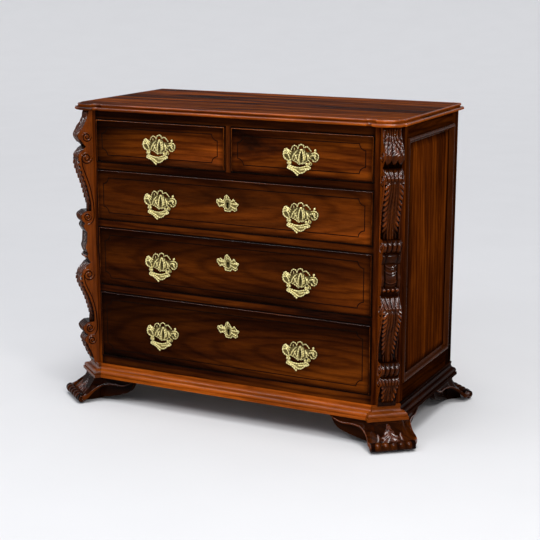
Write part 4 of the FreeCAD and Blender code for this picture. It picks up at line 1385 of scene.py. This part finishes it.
def post_pieces(ball, side, front, inside, radius):
    """A ball-ended post, its shank and nut behind the drawer front, and the pin on which a bail swings."""
    def along(depth):
        return Vector((ball.x, depth, ball.z))

    return [
        rod_mesh(along(inside + SHANK_LENGTH * MM), along(front), SHANK_RADIUS * MM),
        rod_mesh(along(inside), along(inside + NUT_LENGTH * MM), NUT_RADIUS * MM, NUT_SIDES),
        rod_mesh(along(front), ball, radius),
        ball_mesh(ball, radius),
        rod_mesh(ball, ball - Vector((side * PIN_LENGTH * MM, 0, 0)), PIN_RADIUS * MM),
    ]


class CHEST_OT_cast_handle_plates(bpy.types.Operator):
    """Cast the pierced handle plates with their posts and nuts"""
    bl_idname = "chest.cast_handle_plates"
    bl_label = "Cast Handle Plates"

    def execute(self, context):
        settings = context.scene.chest_brass
        brass = cast_brass("cast_brass")
        casting = measured(flattened(plate_casting(settings)), *PLATE_RELIEF)
        for drawer in DRAWERS:
            body = "drawer_" + drawer
            low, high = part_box("drawer_front_" + drawer)
            pieces = []
            for bail, parent, pivot in handle_hinges():
                if parent != body:
                    continue
                pieces.append(moved(casting, Matrix.Translation((pivot.x, low.y, pivot.z)), "plate"))
                for side in (-1, 1):
                    ball = pivot + Vector((side * settings.post_pitch / 2, 0, 0))
                    pieces += post_pieces(ball, side, low.y, high.y, settings.post_radius)
            keep(joined(pieces, "plates_" + drawer), "brass_plates_" + drawer, body,
                 ["handle_plates_" + drawer], brass)
        bpy.data.meshes.remove(casting)
        return {"FINISHED"}


class CHEST_OT_cast_bails(bpy.types.Operator):
    """Cast the leaf-shaped drop handles"""
    bl_idname = "chest.cast_bails"
    bl_label = "Cast Bails"

    def execute(self, context):
        settings = context.scene.chest_brass
        brass = bpy.data.materials["cast_brass"]
        web = sheet_mesh(smooth_ring(BAIL_WEB), [], WEB_THICKNESS * MM)
        web.transform(Matrix.Translation((0, WEB_THICKNESS * MM / 2, 0)))
        meshes = [web, brass_strokes(BAIL_STROKES)]
        for side in (-1, 1):
            ends = [(side * reach * MM, 0, 0) for reach in (BARREL_START, BARREL_END)]
            meshes.append(rod_mesh(*ends, BARREL_RADIUS * MM))
        casting = measured(fused(meshes, settings.grain, "bail_casting"), *BAIL_RELIEF)
        for bail, parent, pivot in handle_hinges():
            mesh = moved(casting, Matrix.Translation(pivot), bail)
            keep(mesh, "brass_" + bail, bail, [bail], brass)
        bpy.data.meshes.remove(casting)
        return {"FINISHED"}


class CHEST_OT_cast_keyhole_plates(bpy.types.Operator):
    """Cast the keyhole plates of the long drawers"""
    bl_idname = "chest.cast_keyhole_plates"
    bl_label = "Cast Keyhole Plates"

    def execute(self, context):
        settings = context.scene.chest_brass
        brass = bpy.data.materials["cast_brass"]
        web = sheet_mesh(smooth_ring(KEY_WEB), [keyhole_ring()], WEB_THICKNESS * MM)
        meshes = [web, brass_strokes(KEY_STROKES)]
        casting = measured(flattened(fused(meshes, settings.grain, "key_casting")), *KEY_RELIEF)
        for drawer in LONG_DRAWERS:
            node = "escutcheon_" + drawer
            low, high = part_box(node)
            middle = Vector(((low.x + high.x) / 2, high.y, (low.z + high.z) / 2))
            mesh = moved(casting, Matrix.Translation(middle), node)
            keep(mesh, "brass_" + node, "drawer_" + drawer, [node], brass)
        bpy.data.meshes.remove(casting)
        return {"FINISHED"}


def dress(node, material):
    """Gives a CAD node its finish."""
    slots = frame["nodes"][node].data.materials
    slots.clear()
    slots.append(material)


# Glue lines of the top, in metres: the Y of each and the X at which it starts
TOP_SEAMS = ((0.083, -1.0), (-0.1015, 0.54), (0.0113, 0.54), (-0.21, 0.54))
# How far in the painted shade along a piece's edges starts, in metres, from the low and from the high end of
# its box
BEVEL_SHADE = ((0.0, 0.046, 0.018), (0.0, 0.018, 0.018))
FRIEZE_SHADE = ((0.0, 0.0, 0.0), (0.0, 0.0, 0.012))
FRONT_SHINE = 0.008
BACK_BOARDS = 3
# How far the figure moves on from one board to the next
BOARD_SHIFT = (0.37, 0.53, 0.71)

# Drawer lines, in millimetres from the edge of a front, with the share of an incised line that wax and
# painted shade fill; the dark ring on the lip is painted shadow in the gap round a front
LINE_INSET = 25.0
LINE_WIDTH = 3.0
LINE_CORNER = 20.0
LINE_DEPTH = 1.5
LINE_FILL = 0.8
LIP_STEP = 4.0
LIP_PAINTED_SHADOW = 3.4
LIP_THICKNESS = 0.4
BEAD_INSET = 4.6
BEAD_RISE = 1.6
BEAD_RADIUS = 1.3


def notched_ring(low, high, inset, steps=CURVE_STEPS):
    """A rectangle with hollow quarter-round corners, set in from a front's edge, in X and Z."""
    step = inset - LINE_INSET
    radius = LINE_CORNER + step
    start = math.asin(step / radius)
    middle = (low + high) / 2
    half_x = (high.x - low.x) / 2 - LINE_INSET * MM
    half_z = (high.z - low.z) / 2 - LINE_INSET * MM
    ring = []
    for sign_x, sign_z in ((1, 1), (-1, 1), (-1, -1), (1, -1)):
        sweep = [mixed(start, math.pi / 2 - start, part / steps) for part in range(steps + 1)]
        for angle in sweep if sign_x != sign_z else reversed(sweep):
            away, rise = radius * MM * math.cos(angle), radius * MM * math.sin(angle)
            ring.append((middle.x + sign_x * (half_x - away), middle.z + sign_z * (half_z - rise)))
    return ring


def square_ring(low, high, inset):
    """A plain rectangle, set in from a front's edge, in X and Z."""
    edge = inset * MM
    return [(high.x - edge, high.z - edge), (low.x + edge, high.z - edge), (low.x + edge, low.z + edge),
            (high.x - edge, low.z + edge)]


class CHEST_OT_line_drawers(bpy.types.Operator):
    """Run the dark lines and the painted shadow round the drawer fronts, and the beads along their tops and
    sides
    """
    bl_idname = "chest.line_drawers"
    bl_label = "Line Drawers"

    def execute(self, context):
        wax_and_painted_shade = wax_and_painted_shadow("wax_and_painted_shadow")
        bright = rosewood("bead_rosewood", "x", (0.2, 0.4, 0.9), tone=1.8, glow=0.8, shine=0.02, crown=1.0)
        for drawer in DRAWERS:
            body = "drawer_" + drawer
            low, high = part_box("drawer_front_" + drawer)
            outer, inner = (notched_ring(low, high, LINE_INSET + width) for width in (0.0, LINE_WIDTH))
            line = sheet_mesh(outer, [inner], LINE_FILL * LINE_DEPTH * MM)
            line.transform(Matrix.Translation((0, low.y + LINE_DEPTH * MM, 0)))
            # A dark ring on the lip: painted shadow in the gap round a front
            outer, inner = (square_ring(low, high, inset) for inset in (0.0, LIP_PAINTED_SHADOW))
            lip = sheet_mesh(outer, [inner], LIP_THICKNESS * MM)
            lip.transform(Matrix.Translation((0, low.y + LIP_STEP * MM, 0)))
            keep(joined([line, lip], "lines_" + drawer), "wax_and_shadow_lines_" + drawer, body, [], wax_and_painted_shade)
            corners = square_ring(low, high, BEAD_INSET)
            level = low.y + (LIP_STEP - BEAD_RISE) * MM
            path = [(x, level, z, BEAD_RADIUS * MM) for x, z in corners[3:] + corners[:3]]
            keep(tube_mesh(list(zip(path, path[1:]))), "bead_" + drawer, body, [], bright)
        return {"FINISHED"}


class CHEST_OT_polish_woodwork(bpy.types.Operator):
    """Finish the boards, posts, rails, mouldings and drawers"""
    bl_idname = "chest.polish_woodwork"
    bl_label = "Polish Woodwork"

    # Node, grain, tone, glow and shine of each rosewood piece
    boards = (
        ("top_board", "x", 2.6, 0.7, 0.00015),
        ("front_post_left", "z", 2.0, 0.8, 0.0), ("front_post_right", "z", 2.0, 0.8, 0.0),
        ("rear_post_left", "z", 0.9, 0.4, 0.0), ("rear_post_right", "z", 0.9, 0.4, 0.0),
        ("side_rails_left", "y", 1.5, 0.5, 0.0), ("side_rails_right", "y", 0.7, 0.4, 0.0),
        ("side_panel_left", "z", 1.8, 0.7, 0.0), ("side_panel_right", "z", 1.8, 0.7, 0.0),
        ("panel_moulding_left", "z", 0.8, 0.7, 0.02), ("panel_moulding_right", "z", 0.8, 0.7, 0.02),
        ("base_moulding_front", "x", 3.8, 1.0, 0.01),
        ("base_moulding_left", "y", 0.45, 0.4, 0.001), ("base_moulding_right", "y", 0.45, 0.4, 0.001),
        ("base_block_left", "x", 2.2, 1.0, 0.08), ("base_block_right", "x", 3.6, 1.0, 0.03),
        ("front_rails", "x", 1.3, 0.5, 0.01), ("drawer_divider", "z", 1.2, 0.7, 0.02),
    )
    # Polish on the edges that face partly upward, and how even the wood is, where they are not nought
    crowns = {"top_board": 1.0, "base_moulding_front": 0.45, "base_block_left": 0.5, "base_block_right": 0.5,
              "base_moulding_left": 0.15, "base_moulding_right": 0.15}
    calms = {"side_panel_left": 0.2, "side_panel_right": 0.2, "base_moulding_front": 0.55,
             "base_block_left": 0.6, "base_block_right": 0.6, "panel_moulding_left": 0.6,
             "panel_moulding_right": 0.6}
    # Tone of a moulded edge against its top, a painted highlight, fade to the right, painted light, and the
    # painted shade along the edges
    edges = {"top_board": 2.6, "base_moulding_front": 1.4}
    painted_light_fades = {"base_moulding_front": 0.2}
    rims = {"side_panel_left": BEVEL_SHADE, "side_panel_right": BEVEL_SHADE, "front_rails": FRIEZE_SHADE}
    # Drawer, tone, glow, fade, tone of its dark band, calm, and the heart of its rings from the middle.
    # Tones rise towards the top of the chest as painted light from above, and fade is painted light from the
    # right
    fronts = (
        ("long_bottom", 0.85, 0.52, 0.65, 0.45, 0.16, (0.35, -0.02)),
        ("long_middle", 1.3, 0.56, 0.50, 0.50, 0.22, (0.30, 0.01)),
        ("long_top", 2.4, 0.60, 0.40, 0.50, 0.36, (-0.30, 0.02)),
        ("short_left", 3.5, 0.70, 0.88, 0.14, 0.16, (0.10, -0.09)),
        ("short_right", 4.3, 0.65, 0.25, 0.24, 0.04, (0.05, -0.05)),
    )
    hidden = (("back_boards", "x", 0.8), ("bottom_board", "x", 0.75), ("drawer_runners", "y", 0.8))

    def execute(self, context):
        for index, (node, grain, tone, glow, shine) in enumerate(self.boards):
            shift = tuple(step * index for step in BOARD_SHIFT)
            seams = TOP_SEAMS if node == "top_board" else ()
            painted_shade_box = None
            if node in self.rims:
                low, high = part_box(node)
                start, end = self.rims[node]
                painted_shade_box = (low + Vector(start), high - Vector(end))
            dress(node, rosewood(
                "rosewood_" + node, grain, shift, tone, glow, shine, self.crowns.get(node, 0.0),
                self.calms.get(node, 0.0), fade=self.painted_light_fades.get(node, 0.0), painted_shade_box=painted_shade_box,
                edge=self.edges.get(node), seams=seams))
        for index, (drawer, tone, glow, fade, band, calm, heart) in enumerate(self.fronts):
            node = "drawer_front_" + drawer
            low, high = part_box(node)
            centre = (low + high) / 2 + Vector((heart[0], 0.0, heart[1]))
            shift = (1.7 * index + 3.9, 0.9 * index, 2.3 * index + 0.6)
            # Each front is darkened along its edges as painted shade, and lightened to the right as painted
            # light
            dress(node, rosewood(
                "rosewood_" + node, "x", shift, tone, glow, FRONT_SHINE, calm=calm, heart=tuple(centre),
                fade=fade, painted_shade_box=(low, high), band=band))
        for index, (node, grain, tone) in enumerate(self.hidden):
            low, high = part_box(node)
            count = BACK_BOARDS if node == "back_boards" else 1
            joints = [mixed(low.z, high.z, board / count) for board in range(1, count)]
            dress(node, plain_wood("plain_" + node, grain, (0.4 * index, 0.3, 0.2 * index), tone, joints))
        for index, drawer in enumerate(DRAWERS):
            shift = (0.2 * index, 0.7, 0.5 * index)
            dress("drawer_box_" + drawer, plain_wood("plain_box_" + drawer, "y", shift))
        iron = old_iron("old_iron")
        for drawer in LONG_DRAWERS:
            dress("lock_" + drawer, iron)
            dress("lock_bolt_" + drawer, iron)
        return {"FINISHED"}


# Where the floor sweeps up into the backdrop: radius and angle of the sweep, and its mesh steps
SWEEP_RADIUS = 14.0
SWEEP_ANGLE = math.radians(62)
SWEEP_STEPS = 18
FLOOR_SIDES = 72
# Light of the world, from its foot up to a height at which it is full
SKY = ((0.0, (0.05, 0.05, 0.052)), (0.8, (0.46, 0.47, 0.52)))
# Wide light from above
SUN_POWER = 1.36
SUN_WIDTH = math.radians(30)
SUN_FACING = (-0.10, 0.12, -1.0)
# Lamps: name, place, the point that each one faces, width and height, power and colour
SOFTBOXES = (
    ("key_right", (2.1, -1.75, 2.2), (0.45, -0.25, 0.75), (0.55, 0.55), 22.0, (1.0, 0.98, 0.96)),
    ("overhead_front", (0.35, -1.5, 2.4), (0.15, -0.2, 0.7), (1.4, 0.14), 7.0, (0.94, 0.96, 1.0)),
    ("strip_left", (-1.1, -2.15, 2.4), (0.0, -0.3, 0.9), (1.8, 0.16), 15.0, (0.93, 0.96, 1.0)),
)
SENSOR_WIDTH = 36.0


def set_up(name, data, place, facing):
    """Puts a lamp or a camera in its place and turns it the way that it faces."""
    holder = bpy.data.objects.new(name, data)
    bpy.context.scene.collection.objects.link(holder)
    holder.location = place
    holder.rotation_euler = Vector(facing).to_track_quat("-Z", "Y").to_euler()
    return holder


def lay_floor(stage):
    """A pale round floor that sweeps up into a backdrop on all sides."""
    profile = [(0.0, 0.0)]
    for step in range(SWEEP_STEPS + 1):
        angle = SWEEP_ANGLE * step / SWEEP_STEPS
        reach = stage.floor_size + SWEEP_RADIUS * math.sin(angle)
        profile.append((reach, SWEEP_RADIUS * (1.0 - math.cos(angle))))
    bm = bmesh.new()
    corners = [bm.verts.new((reach, 0.0, height)) for reach, height in profile]
    lines = [bm.edges.new(pair) for pair in zip(corners, corners[1:])]
    bmesh.ops.spin(bm, geom=corners + lines, cent=(0, 0, 0), axis=(0, 0, 1), angle=2 * math.pi,
                   steps=FLOOR_SIDES, use_merge=True)
    floor = bpy.data.objects.new("studio_floor", new_mesh("studio_floor", bm))
    floor.data.shade_smooth()
    bpy.context.scene.collection.objects.link(floor)
    graph = Graph("studio_floor")
    cloud = graph.noise(graph.place(), 3.0, 2.0)
    pale = tuple(stage.floor_colour)
    colour = graph.ramp(cloud, "Fac", ((0.3, tuple(channel * 0.985 for channel in pale)), (0.7, pale)))
    graph.join(colour, "Color", graph.shader, "Base Color")
    graph.shader.inputs["Roughness"].default_value = 0.9
    graph.shader.inputs["Specular IOR Level"].default_value = 0.0
    floor.data.materials.append(graph.material)


def light_sky():
    """A world that is dim at its foot and paler above."""
    world = bpy.data.worlds.new("studio")
    bpy.context.scene.world = world
    world.use_nodes = True
    tree = world.node_tree
    tree.nodes.clear()
    where = tree.nodes.new("ShaderNodeTexCoord")
    split = tree.nodes.new("ShaderNodeSeparateXYZ")
    sky = tree.nodes.new("ShaderNodeValToRGB")
    light = tree.nodes.new("ShaderNodeBackground")
    end = tree.nodes.new("ShaderNodeOutputWorld")
    for stop, (position, colour) in zip(sky.color_ramp.elements, SKY):
        stop.position = position
        stop.color = (*colour, 1.0)
    tree.links.new(where.outputs["Generated"], split.inputs["Vector"])
    tree.links.new(split.outputs["Z"], sky.inputs["Fac"])
    tree.links.new(sky.outputs["Color"], light.inputs["Color"])
    tree.links.new(light.outputs["Background"], end.inputs["Surface"])


def hang_lamps():
    """A wide light from above and the softboxes in front."""
    sun = bpy.data.lights.new("overhead", "SUN")
    sun.energy = SUN_POWER
    sun.angle = SUN_WIDTH
    set_up("overhead", sun, (0, 0, 0), SUN_FACING)
    for name, place, aim, size, power, colour in SOFTBOXES:
        lamp = bpy.data.lights.new(name, "AREA")
        lamp.shape = "RECTANGLE"
        lamp.size, lamp.size_y = size
        lamp.energy = power
        lamp.color = colour
        set_up(name, lamp, place, Vector(aim) - Vector(place))


class CHEST_OT_set_stage(bpy.types.Operator):
    """Lay the floor, hang the lamps and set the camera"""
    bl_idname = "chest.set_stage"
    bl_label = "Set Stage"

    def execute(self, context):
        stage = context.scene.chest_stage
        lay_floor(stage)
        light_sky()
        hang_lamps()
        camera = bpy.data.cameras.new("camera")
        camera.lens = stage.lens
        camera.sensor_width = SENSOR_WIDTH
        away = Vector((math.sin(stage.azimuth) * math.cos(stage.elevation),
                       -math.cos(stage.azimuth) * math.cos(stage.elevation), math.sin(stage.elevation)))
        place = Vector(stage.target) + away * stage.distance
        context.scene.camera = set_up("camera", camera, place, -away)
        context.scene.view_settings.view_transform = "Standard"
        return {"FINISHED"}


class CHEST_PT_tools(bpy.types.Panel):
    """Steps that dress the chest"""
    bl_label = "Rosewood Chest"
    bl_idname = "CHEST_PT_tools"
    bl_space_type = "VIEW_3D"
    bl_region_type = "UI"
    bl_category = "Chest"

    def draw(self, context):
        for step in STEPS:
            self.layout.operator(step.bl_idname)
        for holder in GROUPS:
            group = getattr(context.scene, holder)
            for name in group.__annotations__:
                self.layout.prop(group, name)


STEPS = (
    CHEST_OT_polish_woodwork,
    CHEST_OT_line_drawers,
    CHEST_OT_carve_trusses,
    CHEST_OT_carve_feet,
    CHEST_OT_cast_handle_plates,
    CHEST_OT_cast_bails,
    CHEST_OT_cast_keyhole_plates,
    CHEST_OT_set_stage,
)
GROUPS = {
    "chest_carving": ChestCarving,
    "chest_brass": ChestBrass,
    "chest_wood": ChestWood,
    "chest_stage": ChestStage,
}


def register():
    for group in GROUPS.values():
        bpy.utils.register_class(group)
    for name, group in GROUPS.items():
        setattr(bpy.types.Scene, name, PointerProperty(type=group))
    for step in STEPS:
        bpy.utils.register_class(step)
    bpy.utils.register_class(CHEST_PT_tools)


def unregister():
    bpy.utils.unregister_class(CHEST_PT_tools)
    for step in reversed(STEPS):
        bpy.utils.unregister_class(step)
    for name in GROUPS:
        delattr(bpy.types.Scene, name)
    for group in reversed(GROUPS.values()):
        bpy.utils.unregister_class(group)


def main():
    register()
    bpy.ops.chest.polish_woodwork()
    bpy.ops.chest.line_drawers()
    bpy.ops.chest.carve_trusses()
    bpy.ops.chest.carve_feet()
    bpy.ops.chest.cast_handle_plates()
    bpy.ops.chest.cast_bails()
    bpy.ops.chest.cast_keyhole_plates()
    bpy.ops.chest.set_stage()


if __name__ == "__main__":
    main()
